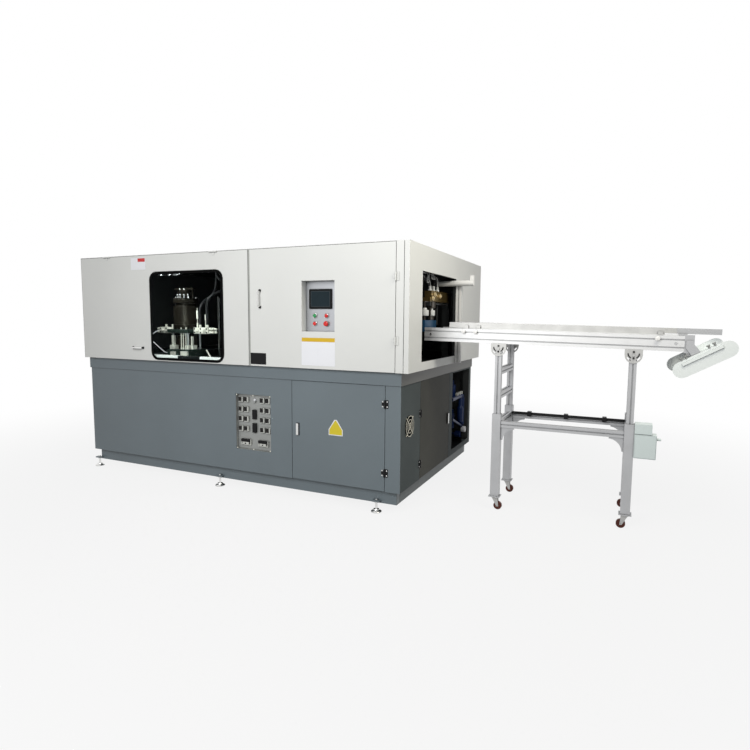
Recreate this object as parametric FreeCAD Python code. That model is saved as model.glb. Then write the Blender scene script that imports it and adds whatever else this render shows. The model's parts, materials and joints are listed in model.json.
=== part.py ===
import FreeCAD, Part

"""Blow moulding machine with its outfeed conveyor.

A steel base on levelling feet carries a sheet-metal cabinet.  Inside stand the oven, the blow station
and the take-out unit; a belt conveyor on castors reaches in through the side opening.

Lengths are millimetres.  The pieces are drawn from the cabinet's front right corner on the floor:
X runs right along the front, Y runs back, Z is up.  node() then moves them to the frame's origin,
the underside of the front right levelling foot.
"""
import math
import os

from FreeCAD import Rotation, Vector

# ---------------------------------------------------------------- driving sizes: cabinet
CAB_LENGTH = 3240.0
CAB_DEPTH = 1980.0
CAB_TOP = 1950.0
BASE_TOP = 1040.0
SHEET = 3.0              # all sheet panels
FOLD = 28.0              # depth of a door's folded edges
SEAT = 0.5               # a closed door stays this far off its frame
END_SLIVER = 0.01        # flat left on a round end
DOOR_GAP = 4.0           # slit round a door
CAB_TUBE = 50.0          # cabinet frame tubes
LOW_RISE = 2.0           # door bottoms over the base
SPLIT = 1350.0           # seam between guard and right door, from the right end
CORNER_POST = 98.0       # fixed strip right of the right door
CORNER_SEAM = 39.0       # slit in that strip
SEAM_W = 4.0

# guard window (edges of the hole in the sheet)
WINDOW_LEFT = 2382.0
WINDOW_RIGHT = 1607.0
WINDOW_LOW = 1060.0
WINDOW_HIGH = 1793.0
WINDOW_CORNER = 62.0
SEAL_OUT = 10.0          # rubber lip over the sheet
SEAL_IN = 12.0           # rubber lip over the pane
SEAL_LIP = 4.0
PANE_GAP = 4.0           # pane edge to sheet edge

# side opening of the cabinet
OPEN_FRONT = 263.0
OPEN_BACK = 1122.0
OPEN_LOW = 1103.0
OPEN_DROP = 185.0        # the opening's upper edge below the roof
OPEN_HIGH = CAB_TOP - OPEN_DROP
OPEN_LIP = 25.0

# operator panel
HMI_LEFT = 860.0
HMI_RIGHT = 580.0
HMI_LOW = 1319.0
HMI_HIGH = 1694.0
HMI_DEPTH = 65.0         # plate's face behind the door's face
SCREEN_W = 195.0
SCREEN_H = 147.0
SCREEN_X = 732.0
SCREEN_Z = 1561.5
SCREEN_PROUD = 8.0
SCREEN_BODY = 38.0
SCREEN_STEP = 6.0        # screen body inside its bezel
SCREEN_SIDE = 20.0       # bezel round the glass
SCREEN_SINK = 1.5
BUTTON_X = (782.0, 681.0)
BUTTON_Z = (1437.0, 1378.0)
BUTTON_TRAVEL = 4.0
STEM_R = 5.0
RUNNING_FIT = 0.05
HEAD_R = 11.0
HEAD_H = 5.0
MUSHROOM_R = 20.0
MUSHROOM_H = 16.0
LEGEND = 34.0            # square legend plate round each control
LEGEND_T = 3.0
CONTACT_W = 30.0
CONTACT_H = 40.0
CONTACT_D = 42.0

# handles
HANDLE_BAR = 10.0
HANDLE_STAND = 34.0
HANDLE_BEND = 12.0
DOOR_HANDLE_SPAN = 115.0
DOOR_HANDLE_X = 1237.0
DOOR_HANDLE_Z = 1564.0
GUARD_HANDLE_SPAN = 106.0
GUARD_HANDLE_X = 2549.0
GUARD_HANDLE_Z = 1150.0

# hinges
KNUCKLE_R = 6.0
KNUCKLE_GAP = 0.4        # end play between knuckles
LEAF = 2.5
LEAF_W = 26.0
HINGE_H = 60.0
HINGE_MIDDLE = 24.0      # length of the door's knuckle
CAB_HINGES_Z = (1265.0, 1709.0)
GUARD_HINGES_X = (2900.0, 1690.0)
GUARD_HINGE_W = 80.0

# ---------------------------------------------------------------- driving sizes: base
BASE_INSET_LEFT = 25.0
BASE_INSET_RIGHT = 60.0
BASE_INSET_FRONT = 30.0
SKIRT_LOW = 65.0
SKIRT_HIGH = 165.0
SKIRT_RECESS = 46.0
SKIRT_FLANGE = 50.0
SKIRT_WALL = 8.0
BASE_TUBE = 60.0
BAND_HIGH = 95.0         # top band of the base
PANEL_RECESS = 8.0       # panels behind the band's face
TABLE = 20.0
FOOT_X = 260.0
FOOT_Y = 60.0
FOOT_LEFT = 60.0         # left feet from the cabinet's left end
FOOT_PAD_R = 40.0
FOOT_PAD_H = 22.0
FOOT_BOSS_R = 24.0
SPINDLE_R = 9.0
FOOT_NUT_R = 15.0
FOOT_NUT_H = 10.0
LUG = 60.0
LUG_T = 10.0
LUG_RISE = 12.0          # lug over the skirt's lower edge

POWER_LEFT = 975.0
POWER_RIGHT = 190.0
DOOR_TRAY = 20.0
POWER_BOX_DEPTH = 380.0
BASE_HINGES_Z = (305.0, 809.0)

SOCKET_LEFT = 1520.0
SOCKET_RIGHT = 1178.0
SOCKET_LOW = 347.0
SOCKET_HIGH = 803.0
SOCKET_SINK = 24.0
SOCKET_PITCH_Z = 80.0
SOCKET_TOP_Z = 757.0     # centre of the top row of sockets
SOCKET_COLUMNS = (1482.0, 1428.0, 1270.0, 1216.0)
SOCKET_SIZE = (40.0, 44.0)
SOCKET_RIM = 7.0
TALL_Z = (639.0, 529.0)
TALL_SIZE = (28.0, 76.0)
WIDE_X = (1434.0, 1264.0)
WIDE_Z = 406.0
WIDE_SIZE = (96.0, 48.0)
LAMP_Z = 748.0
LAMP_R = 14.0

SIDE_DOOR_FRONT = 450.0
SIDE_DOOR_BACK = 1205.0
SIDE_HINGES_Z = (290.0, 690.0)
BAY_FRONT = 1305.0
BAY_BACK = 1875.0
BAY_LOW = 215.0
BAY_HIGH = 930.0
BAY_DEPTH = 260.0

FAN_Y = 205.0
FAN_Z = 632.0
FAN_R = 80.0
FAN_DEPTH = 38.0
FAN_HUB_R = 24.0
FAN_BLADES = 5
BLADE_T = 2.0
FAN_PITCH = 35.0         # blade angle, degrees
FAN_TIP = 4.0            # blade tip to housing
GUARD_RINGS = (24.0, 51.0, 78.0)
GUARD_WIRE = 3.0
GUARD_STAND = 7.0

LATCH_W = 26.0
LATCH_H = 96.0
LATCH_PLATE = 5.0
LATCH_PADDLE = 9.0
LATCH_SPINDLE_R = 7.0
LATCH_TOP = 18.0         # spindle below the plate's top
POWER_LATCH = (923.0, 564.0)
SIDE_LATCH = (1160.0, 537.0)

LOUVRE_W = 260.0
LOUVRE_H = 12.0
LOUVRE_PITCH = 40.0
LOUVRE_ROWS = 6
LOUVRE_Z = 585.0
LOUVRE_X = (2300.0, 800.0)

# ---------------------------------------------------------------- driving sizes: air service unit
PIPE_R = 17.0
BRANCH_R = 12.0
AIR_REACH = 90.0         # pipe line behind the bay's mouth
BOWL_Y = 1785.0
BOWL_Z = (690.0, 400.0)
BOWL_R = (42.0, 36.0)
BOWL_H = 150.0
BOWL_HEAD = 40.0
BOWL_NECK_R = 26.0
HEADER_Z = (620.0, 330.0)
HEADER_FRONT = 1345.0
CAP_Y = 1815.0
CAP_Z = 262.0
CAP_R = 33.0
CAP_H = 52.0
TANK_X = 620.0
TANK_Z = 470.0
TANK_R = 170.0
TANK_FRONT = 560.0
TANK_BACK = 1240.0
TANK_DOME = 70.0
SADDLE_IN = 130.0
SADDLE_T = 20.0
SADDLE_W = 240.0
SADDLE_TOP = 410.0

# ---------------------------------------------------------------- driving sizes: blow station
ST_X = -2580.0
ST_Y = 620.0
ST_HEAD = (264.0, 250.0, 34.0)
ST_HEAD_LOW = 1270.0
ST_CORNER = 60.0
TIE_R = 12.0
TIE_DX = 92.0
TIE_DY = 82.0
TIE_NUT_R = 18.0
TIE_NUT_H = 12.0
FLANGE_R = 124.0
FLANGE_H = 46.0
CYL_R = 118.0
CYL_H = 252.0
CYL_STAGE = 190.0        # height of the lower stage
CYL_WAIST = 14.0         # groove between the two stages
CYL_NECK_R = 66.0
CYL_NECK_H = 84.0
CAP_BOLTS = 6
CAP_BOLT_R = 9.0
CAP_BOLT_H = 12.0
CAP_BOLT_RING = 98.0
VALVE = (175.0, 100.0, 60.0)
VALVE_DROP = 8.0         # valve blocks below the head plate
PORT_R = 14.0
PORT_H = 26.0
MOULD_W = 56.0
MOULD_D = 116.0
MOULD_H = 130.0
CLAMP_PLATE = 16.0
CLAMP_OVER = 2.0
MOULD_TRAVEL = 30.0
MOULD_RIM = 33.0         # base plate left beyond the open moulds
ST_BASE = (2 * (MOULD_W + CLAMP_PLATE + MOULD_TRAVEL + MOULD_RIM), 250.0, 70.0)
MOULD_GAP = 0.6
BOTTLE_R = 22.0
BOTTLE_LOW = 18.0
BOTTLE_SHOULDER = 80.0
NECK_R = 10.0
CAVITY_DY = 30.0
STRETCH_DX = 90.0
STRETCH_R = 7.0
STRETCH_BAR = (230.0, 48.0, 16.0)
STRETCH_LIFT = 90.0
STRETCH_GRIP = 70.0      # rod left in its guide at full lift
STRETCH_DEPTH = STRETCH_LIFT + STRETCH_GRIP

OVEN = (-1950.0, -760.0, 900.0, 1460.0)
OVEN_H = 460.0
OVEN_SLOT = 180.0
OVEN_WALL = 30.0
OVEN_LAMPS = 6
LAMP_ROD_R = 8.0

# ---------------------------------------------------------------- driving sizes: take-out unit
TAKE_X = -130.0
BEAM_W = 60.0
BEAM_FRONT = 760.0
BEAM_BACK = 1300.0
BEAM_LOW = 1565.0
BEAM_HIGH = 1650.0
COLUMN = 60.0
SLIDE_R = 8.0
SLIDE_RISE = 20.0        # slide rod below the beam
SLIDE_END = 30.0
CARRIER = (46.0, 90.0, 58.0)
TUBE_Z = 1472.0
TUBE_R = 27.0
TUBE_FRONT = 560.0
TUBE_SPLIT = (670.0, 730.0)
TUBE_BACK = 880.0
GRIP_Z = (1320.0, 1410.0)
GRIP_Y = (590.0, 870.0)
GRIP_T = 44.0
TAKE_TRAVEL = 160.0
GUIDE_CLEAR = 10.0       # from the tube at full travel to the hanging rod
GUIDE_ROD = (TUBE_BACK + TAKE_TRAVEL + GUIDE_CLEAR, 1370.0, 6.0)

SENSOR_Y = 1098.0
SENSOR_DROP = 39.0       # the arm below the opening's upper edge
SENSOR_Z = OPEN_HIGH - SENSOR_DROP
SENSOR_R = 24.0
SENSOR_REACH = 160.0
POST_W = 45.0
SENSOR_HEAD = (30.0, 34.0, 40.0)

# ---------------------------------------------------------------- driving sizes: conveyor
RAIL_START = -60.0
RAIL_LENGTH = 1755.0
RAIL_START_Z = 1305.0
RAIL_H = 100.0
RAIL_W = 40.0
RAIL_FRONT_Y = 512.0
RAIL_BACK_Y = 975.0
SLOPE = 1.1              # degrees down towards the outer end
SLOT_W = 9.0
SLOT_D = 6.0
ROLLER_R = 34.0
SHAFT_R = 9.0
ROLLER_IN = 48.0         # roller axis from the rail's end
BELT = 3.0
BELT_CLEAR = 0.3
BELT_MARGIN = 12.0
BED_BAR = 30.0
BED_BARS = 3
BLOCK_L = 55.0           # bearing block past the rail's outer end
BLOCK_CAP = 8.0
GUIDE_H = 40.0
GUIDE_T = 5.0
GUIDE_RISE = 6.0
GUIDE_START = 190.0      # along the rail
GUIDE_FRONT_L = 1450.0
GUIDE_BACK_L = 1830.0
CLAMPS_FRONT = (310.0, 400.0, 1600.0)
CLAMPS_BACK = (310.0, 950.0, 1600.0)
CLAMP = (30.0, 13.0)
LEG_X = (513.0, 1405.0)
LEG_UPPER = 45.0
LEG_LOWER = 62.0
LEG_FIT = 0.3
LEG_LOWER_TOP = 726.0
LEG_INSERT = 140.0
LEG_FOOT = 98.0
LEG_CAP = 82.0
LEG_CAP_T = 6.0
BRACKET_R = 55.0
BRACKET_DROP = 37.0      # bracket centre below the rail
BRACKET_T = 6.0
BRACKET_SLOT_R = (44.0, 35.0)
BRACKET_SLOTS = (200.0, 295.0)
BRACKET_SLOT_ARC = 45.0
BOLT_R = 9.0
BOLT_H = 6.0
BAR = 45.0
BAR_Z = 650.0
UPPER_BAR_Z = (860.0, 1040.0)
GUSSET = 95.0
GUSSET_T = 24.0
GUSSET_TOE = 12.0
TIE_TUBE_R = 12.0
TIE_TUBE_CLAMPS = 3
TIE_CLAMP = (30.0, 42.0)

WHEEL_R = 30.0
WHEEL_W = 22.0
HUB_GAP = 1.0
TRAIL = 24.0
FORK_T = 3.0
FORK_W = 15.0
AXLE_R = 4.0
AXLE_END = 4.0
HEAD_DISC_R = 24.0
HEAD_DISC_H = 12.0
SWIVEL_R = 6.0
SWIVEL_PIN = 18.0

CONTROL_BOX = (5.0, 134.0, 505.0, 665.0)
CONTROL_TOP = (5.0, 105.0, 735.0)
CONTROL_D = 96.0
CONTROL_LID = 4.0
CONTROL_LEVER = (26.0, 9.0)

DECK_LENGTH = 390.0
DECK_HIGH = 104.0
DECK_T = 8.0
DECK_TILT = 30.0
DECK_CENTRE = (1810.0, 1177.0)
DECK_CHEEK_GAP = 10.0
PIVOT = (1782.0, 1186.0)
PIVOT_R = 8.0
ARM_T = 8.0
ARM_W = 40.0
DECK_FLOOR_IN = 215.0    # floor sheet from the cheeks' lower end
DECK_ROD_R = 7.0
DECK_BAR = (250.0, 16.0, 8.0)

# ---------------------------------------------------------------- shape helpers
X, Y, Z = Vector(1, 0, 0), Vector(0, 1, 0), Vector(0, 0, 1)
CORNER_STEPS = 4
PLANES = {
    "XY": (lambda u, v, w: Vector(u, v, w), Z),
    "XZ": (lambda u, v, w: Vector(u, w, v), Y),
    "YZ": (lambda u, v, w: Vector(w, u, v), X),
}


def box(x0, x1, y0, y1, z0, z1):
    """Block between two opposite corners, given in any order."""
    low = Vector(min(x0, x1), min(y0, y1), min(z0, z1))
    return Part.makeBox(abs(x1 - x0), abs(y1 - y0), abs(z1 - z0), low)


def block(centre, size, z):
    """Block of the given width, depth and height standing at z."""
    return box(centre[0] - size[0] / 2, centre[0] + size[0] / 2,
               centre[1] - size[1] / 2, centre[1] + size[1] / 2, z, z + size[2])


def rod(start, end, radius):
    """Round bar from one point to another."""
    start, end = Vector(*start), Vector(*end)
    return Part.makeCylinder(radius, (end - start).Length, start, end - start)


def prism(start, end, radius, sides=12):
    """Many-sided bar from one point to another; radius reaches its corners."""
    start, end = Vector(*start), Vector(*end)
    turn = Rotation(Z, end - start)
    corners = []
    for index in range(sides):
        angle = 2 * math.pi * (index + 0.5) / sides
        corners.append(start + turn.multVec(Vector(radius * math.cos(angle), radius * math.sin(angle), 0)))
    return Part.Face(Part.makePolygon(corners + corners[:1])).extrude(end - start)


def bored(start, end, radius, sides=12):
    """Cutter for a many-sided bore whose flats lie at the radius."""
    return prism(start, end, radius / math.cos(math.pi / sides), sides)


def loop(plane, at, u0, u1, v0, v1, corner=0.0):
    """Rectangle outline, its corners rounded in CORNER_STEPS flats where a radius is given."""
    place = PLANES[plane][0]
    u0, u1, v0, v1 = min(u0, u1), max(u0, u1), min(v0, v1), max(v0, v1)
    centres = ((u1 - corner, v0 + corner), (u1 - corner, v1 - corner),
               (u0 + corner, v1 - corner), (u0 + corner, v0 + corner))
    points = []
    steps = CORNER_STEPS if corner > 0.0 else 0
    for quarter, (cu, cv) in enumerate(centres):
        for step in range(steps + 1):
            angle = math.radians(90.0 * (quarter - 1 + step / max(steps, 1)))
            points.append(place(cu + corner * math.cos(angle), cv + corner * math.sin(angle), at))
    return Part.makePolygon(points + points[:1])


def slab(plane, at, thick, u0, u1, v0, v1, corner=0.0, holes=()):
    """Flat plate from its outline, with rectangular or round-cornered holes."""
    face = Part.Face(loop(plane, at, u0, u1, v0, v1, corner))
    for hole in holes:
        face = face.cut(Part.Face(loop(plane, at, *hole)))
    return face.extrude(PLANES[plane][1] * thick)


def profile(plane, at, thick, points):
    """Straight-sided outline extruded along the plane's normal."""
    place, normal = PLANES[plane]
    corners = [place(u, v, at) for u, v in points]
    return Part.Face(Part.makePolygon(corners + corners[:1])).extrude(normal * thick)


def tray(plane, skin, inward, u0, u1, v0, v1, depth=FOLD):
    """Sheet panel with its four edges folded back; inward is the fold's side, +1 or -1."""
    outer = slab(plane, skin, inward * depth, u0, u1, v0, v1)
    u0, u1, v0, v1 = min(u0, u1), max(u0, u1), min(v0, v1), max(v0, v1)
    inner = slab(plane, skin + inward * SHEET, inward * depth,
                 u0 + SHEET, u1 - SHEET, v0 + SHEET, v1 - SHEET)
    return outer.cut(inner)


def member(start, end, width, high=None):
    """Frame tube along X, Y or Z, closed at its ends, as its outer form."""
    across, up = width / 2, (high or width) / 2
    run = Vector(*end) - Vector(*start)
    grow = [(0, 0) if part else (across, across) for part in (run.x, run.y)]
    grow.append((0, 0) if run.z else (up, up))
    spans = []
    for index in range(3):
        low, top = sorted((start[index], end[index]))
        spans += [low - grow[index][0], top + grow[index][1]]
    return box(*spans)


def slotted(plane, at, length, u, v, width, height, slots_u=0, slots_v=0):
    """Aluminium section centred on u, v with straight grooves on its side faces.

    slots_v grooves lie on each face that looks along u, slots_u on each that looks along v.
    """
    body = slab(plane, at, length, u - width / 2, u + width / 2, v - height / 2, v + height / 2)
    grooves = []
    for side in (-1, 1):
        for index in range(slots_v):
            middle = v + height * ((index + 0.5) / slots_v - 0.5)
            face = u + side * width / 2
            grooves.append(slab(plane, at, length, face, face - side * SLOT_D,
                                middle - SLOT_W / 2, middle + SLOT_W / 2))
        for index in range(slots_u):
            middle = u + width * ((index + 0.5) / slots_u - 0.5)
            face = v + side * height / 2
            grooves.append(slab(plane, at, length, middle - SLOT_W / 2, middle + SLOT_W / 2,
                                face, face - side * SLOT_D))
    return body.cut(grooves)


def pull(plane, at, middle, span, place):
    """Bow handle bent from square bar; place maps (along, out) to the plane's coordinates."""
    half, bar, stand, bend = span / 2 + HANDLE_BAR / 2, HANDLE_BAR, HANDLE_STAND, HANDLE_BEND
    outer = [(-half, 0), (-half, stand - bend), (bend - half, stand),
             (half - bend, stand), (half, stand - bend), (half, 0)]
    inner_bend = bend / 2
    inner = [(half - bar, 0), (half - bar, stand - bar - inner_bend), (half - bar - inner_bend, stand - bar),
             (inner_bend + bar - half, stand - bar), (bar - half, stand - bar - inner_bend), (bar - half, 0)]
    return profile(plane, at - bar / 2, bar, [place(middle + a, d) for a, d in outer + inner])


def group(shapes):
    return Part.makeCompound(list(shapes))


def fused(shapes):
    shapes = list(shapes)
    return shapes[0].multiFuse(shapes[1:]).removeSplitter()


os.makedirs("parts", exist_ok=True)
ORIGIN = Vector(FOOT_X, -FOOT_Y, 0)


def node(name, *shapes):
    """Write one sub-part, moved from the cabinet's corner to the frame's origin."""
    moved = group(shapes) if len(shapes) > 1 else shapes[0].copy()
    moved.translate(ORIGIN)
    moved.exportStep("parts/" + name + ".step")


# ---------------------------------------------------------------- cabinet
DOOR_LOW = BASE_TOP + LOW_RISE
FRAME_Y = FOLD + SEAT                      # front face of the cabinet frame
WALL_TOP = CAB_TOP - SHEET
DOOR_TOP = WALL_TOP - LEAF - SEAT           # room for the top hinges' leaves under the roof


def cabinet_frame():
    """Welded square tube: posts, top rails and sills."""
    half = CAB_TUBE / 2
    left, right = SHEET + half - CAB_LENGTH, -SHEET - half
    front, back = FRAME_Y + half, CAB_DEPTH - FOLD - half
    rail, sill = WALL_TOP - half, BASE_TOP + half
    columns = (left, -SPLIT, right)
    members = [member((x, y, BASE_TOP), (x, y, WALL_TOP), CAB_TUBE) for x in columns for y in (front, back)]
    for x in columns:
        members.append(member((x, front + half, rail), (x, back - half, rail), CAB_TUBE))
    for x in (left, right):
        members.append(member((x, front + half, sill), (x, back - half, sill), CAB_TUBE))
    for y in (front, back):
        for x0, x1 in ((left + half, -SPLIT - half), (half - SPLIT, right - half)):
            members.append(member((x0, y, rail), (x1, y, rail), CAB_TUBE))
            members.append(member((x0, y, sill), (x1, y, sill), CAB_TUBE))
    return members


def corner_post():
    """Folded front strip and flat corner strip between the right door and the corner, a slit apart."""
    height = WALL_TOP - BASE_TOP
    outer = slab("XY", BASE_TOP, height, -CORNER_POST, -SHEET, 0, FOLD)
    inner = slab("XY", BASE_TOP, height, SHEET - CORNER_POST, -SHEET, SHEET, FOLD)
    slit = slab("XY", BASE_TOP, height, -CORNER_SEAM - SEAM_W / 2, SEAM_W / 2 - CORNER_SEAM, 0, SHEET)
    return outer.cut(inner).cut(slit)


def cabinet_panels():
    """Roof, back and left side, and the corner strip."""
    roof = slab("XY", WALL_TOP, SHEET, -CAB_LENGTH, 0, 0, CAB_DEPTH)
    left = slab("YZ", -CAB_LENGTH, SHEET, 0, CAB_DEPTH, BASE_TOP, WALL_TOP)
    back = tray("XZ", CAB_DEPTH, -1, SHEET - CAB_LENGTH, -SHEET, BASE_TOP, WALL_TOP)
    return roof, left, back, corner_post()


def cabinet_right():
    """Right side with the opening that the conveyor reaches through, its edge folded in."""
    hole = (OPEN_FRONT, OPEN_BACK, OPEN_LOW, OPEN_HIGH)
    skin = slab("YZ", 0, -SHEET, 0, CAB_DEPTH, BASE_TOP, WALL_TOP, 0.0, (hole,))
    lip = slab("YZ", -SHEET, SHEET - OPEN_LIP, OPEN_FRONT - SHEET, OPEN_BACK + SHEET,
               OPEN_LOW - SHEET, OPEN_HIGH + SHEET, 0.0, (hole,))
    return fused((skin, lip))


# ---------------------------------------------------------------- guard with the window
def window_loop(grow):
    return (-WINDOW_LEFT - grow, grow - WINDOW_RIGHT, WINDOW_LOW - grow, WINDOW_HIGH + grow,
            WINDOW_CORNER + grow)


def guard():
    """Lifting front guard, a folded sheet round its window hole."""
    sheet = tray("XZ", 0, 1, SHEET + LOW_RISE - CAB_LENGTH, -SPLIT - DOOR_GAP / 2, DOOR_LOW, DOOR_TOP)
    return sheet.cut(slab("XZ", -SHEET, FOLD, *window_loop(0)))


def guard_seal():
    """Rubber section that grips the sheet and carries the pane."""
    lip = slab("XZ", -SEAL_LIP, SEAL_LIP, *window_loop(SEAL_OUT), (window_loop(-SEAL_IN),))
    web = slab("XZ", 0, SHEET, *window_loop(0), (window_loop(-PANE_GAP),))
    return fused((lip, web))


def guard_pane():
    return slab("XZ", 0, SHEET, *window_loop(-PANE_GAP))


# ---------------------------------------------------------------- hinges
HINGE_OUT = KNUCKLE_R + SEAT               # pin line in front of the panels


def knuckles(length):
    """Spans of the three knuckles along the pin: fixed, moving, fixed."""
    half, middle = length / 2, HINGE_MIDDLE / 2
    return (-half, -middle - KNUCKLE_GAP), (-middle, middle), (middle + KNUCKLE_GAP, half)


def upright_hinge(axis_x, axis_y, z, door_way, post_way, out):
    """Butt hinge with an upright pin, as (door half, frame half).

    door_way and post_way point along the two leaves; out points away from the panels.
    """
    axis = Vector(axis_x, axis_y, 0)
    low, middle, high = knuckles(HINGE_H)
    clear = KNUCKLE_R + KNUCKLE_GAP

    def plate(way, start, end, span):
        a = axis - out * HINGE_OUT + way * start
        b = axis - out * (HINGE_OUT - LEAF) + way * end
        return box(a.x, b.x, a.y, b.y, z + span[0], z + span[1])

    def half(way, spans):
        whole = (spans[0][0], spans[-1][1])
        barrels = [prism((axis_x, axis_y, z + a), (axis_x, axis_y, z + b), KNUCKLE_R, 8) for a, b in spans]
        tabs = [plate(way, 0, clear, span) for span in spans]
        return fused([plate(way, clear, LEAF_W, whole)] + tabs + barrels)

    return half(door_way, (middle,)), half(post_way, (low, high))


def top_hinge(x):
    """Hinge for the lifting guard, its fixed leaf under the roof's edge, as (guard half, frame half)."""
    y, z = -HINGE_OUT, DOOR_TOP
    low, middle, high = knuckles(GUARD_HINGE_W)
    barrel = prism((x + middle[0], y, z), (x + middle[1], y, z), KNUCKLE_R, 8)
    leaf = box(x + middle[0], x + middle[1], -LEAF, 0, z - LEAF_W, z)
    tab = box(x + middle[0], x + middle[1], y, 0, z - LEAF, z)
    moving = fused((leaf, tab, barrel))
    pieces = [box(x + low[0], x + high[1], 0, LEAF_W, WALL_TOP - LEAF, WALL_TOP)]
    for a, b in (low, high):
        pieces.append(box(x + a, x + b, y, 0, WALL_TOP - LEAF, WALL_TOP))
        pieces.append(prism((x + a, y, z), (x + b, y, z), KNUCKLE_R, 8))
    return moving, fused(pieces)


# ---------------------------------------------------------------- right door and operator panel
def right_door():
    """Folded door with the recess for the operator panel."""
    sheet = tray("XZ", 0, 1, DOOR_GAP / 2 - SPLIT, -CORNER_POST - DOOR_GAP, DOOR_LOW, DOOR_TOP)
    recess = (-HMI_LEFT, -HMI_RIGHT, HMI_LOW, HMI_HIGH)
    liner = slab("XZ", SHEET, HMI_DEPTH, -HMI_LEFT - SHEET, SHEET - HMI_RIGHT, HMI_LOW - SHEET,
                 HMI_HIGH + SHEET, 0.0, (recess,))
    return fused((sheet.cut(slab("XZ", -SHEET, FOLD, *recess)), liner))


PANEL_Y = HMI_DEPTH                        # front face of the operator panel's plate
STEM_BORE = STEM_R + RUNNING_FIT
CONTROLS = {
    "button_start": (BUTTON_X[0], BUTTON_Z[0]),
    "button_stop": (BUTTON_X[0], BUTTON_Z[1]),
    "button_reset": (BUTTON_X[1], BUTTON_Z[0]),
    "emergency_stop": (BUTTON_X[1], BUTTON_Z[1]),
}
SCREEN_U = (-SCREEN_X - SCREEN_W / 2, SCREEN_W / 2 - SCREEN_X)
SCREEN_V = (SCREEN_Z - SCREEN_H / 2, SCREEN_Z + SCREEN_H / 2)


def operator_plate():
    """Recessed plate with the screen's cut-out, the legend plates and the contact blocks."""
    cut_out = (SCREEN_U[0] + SCREEN_STEP, SCREEN_U[1] - SCREEN_STEP,
               SCREEN_V[0] + SCREEN_STEP, SCREEN_V[1] - SCREEN_STEP)
    plate = slab("XZ", PANEL_Y, SHEET, -HMI_LEFT, -HMI_RIGHT, HMI_LOW, HMI_HIGH, 0.0, (cut_out,))
    back = PANEL_Y + SHEET
    pieces, bores = [plate], []
    for x, z in CONTROLS.values():
        pieces.append(box(-x - LEGEND / 2, LEGEND / 2 - x, PANEL_Y - LEGEND_T, PANEL_Y,
                          z - LEGEND / 2, z + LEGEND / 2))
        pieces.append(box(-x - CONTACT_W / 2, CONTACT_W / 2 - x, back, back + CONTACT_D,
                          z - CONTACT_H / 2, z + CONTACT_H / 2))
        bores.append(bored((-x, PANEL_Y - LEGEND_T, z), (-x, back + CONTACT_D / 2, z), STEM_BORE, 8))
    return fused(pieces).cut(bores)


def touch_screen():
    """Screen housing: bezel in front of the plate with the glass sunk in it, body behind."""
    front = PANEL_Y - SCREEN_PROUD
    bezel = slab("XZ", front, SCREEN_PROUD, *SCREEN_U, *SCREEN_V, SCREEN_STEP)
    glass = slab("XZ", front, SCREEN_SINK, SCREEN_U[0] + SCREEN_SIDE, SCREEN_U[1] - SCREEN_SIDE,
                 SCREEN_V[0] + SCREEN_SIDE, SCREEN_V[1] - SCREEN_SIDE)
    body = box(SCREEN_U[0] + SCREEN_STEP, SCREEN_U[1] - SCREEN_STEP, PANEL_Y, PANEL_Y + SCREEN_BODY,
               SCREEN_V[0] + SCREEN_STEP, SCREEN_V[1] - SCREEN_STEP)
    return fused((bezel.cut(glass), body))


def button(x, z, head_r, head_h):
    """Push head on its stem, which runs through the plate into the contact block."""
    front = PANEL_Y - LEGEND_T - BUTTON_TRAVEL - SEAT
    end = PANEL_Y + SHEET + CONTACT_D / 2 - BUTTON_TRAVEL - SEAT
    head = prism((-x, front - head_h, z), (-x, front, z), head_r)
    return fused((head, prism((-x, front, z), (-x, end, z), STEM_R, 8)))


# ---------------------------------------------------------------- base
BX0, BX1 = BASE_INSET_LEFT - CAB_LENGTH, -BASE_INSET_RIGHT
BY0, BY1 = BASE_INSET_FRONT, CAB_DEPTH - BASE_INSET_FRONT
BAND_LOW = BASE_TOP - BAND_HIGH
BAND_D = BASE_TUBE + PANEL_RECESS + SHEET
PANEL_FRONT = BY0 + PANEL_RECESS
PANEL_BACK = BY1 - PANEL_RECESS
PANEL_LEFT = BX0 + PANEL_RECESS
PANEL_RIGHT = BX1 - PANEL_RECESS
SKIRT_X = (BX0 + SKIRT_RECESS, BX1 - SKIRT_RECESS)
SKIRT_Y = (BY0 + SKIRT_RECESS, BY1 - SKIRT_RECESS)
LUG_Z = SKIRT_LOW + LUG_RISE


def channel(plane, at, length, u, way):
    """Rolled channel of the bottom frame, its web at u and its flanges pointing along way."""
    low, high = SKIRT_LOW, SKIRT_HIGH
    wide, thick = u + way * SKIRT_FLANGE, u + way * SKIRT_WALL
    points = [(u, low), (wide, low), (wide, low + SKIRT_WALL), (thick, low + SKIRT_WALL),
              (thick, high - SKIRT_WALL), (wide, high - SKIRT_WALL), (wide, high), (u, high)]
    return profile(plane, at, length, points)


FEET_X = (-FOOT_X, (FOOT_LEFT - FOOT_X - CAB_LENGTH) / 2, FOOT_LEFT - CAB_LENGTH)
FEET = [(x, y) for x in FEET_X for y in (FOOT_Y, CAB_DEPTH - FOOT_Y)]


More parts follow.
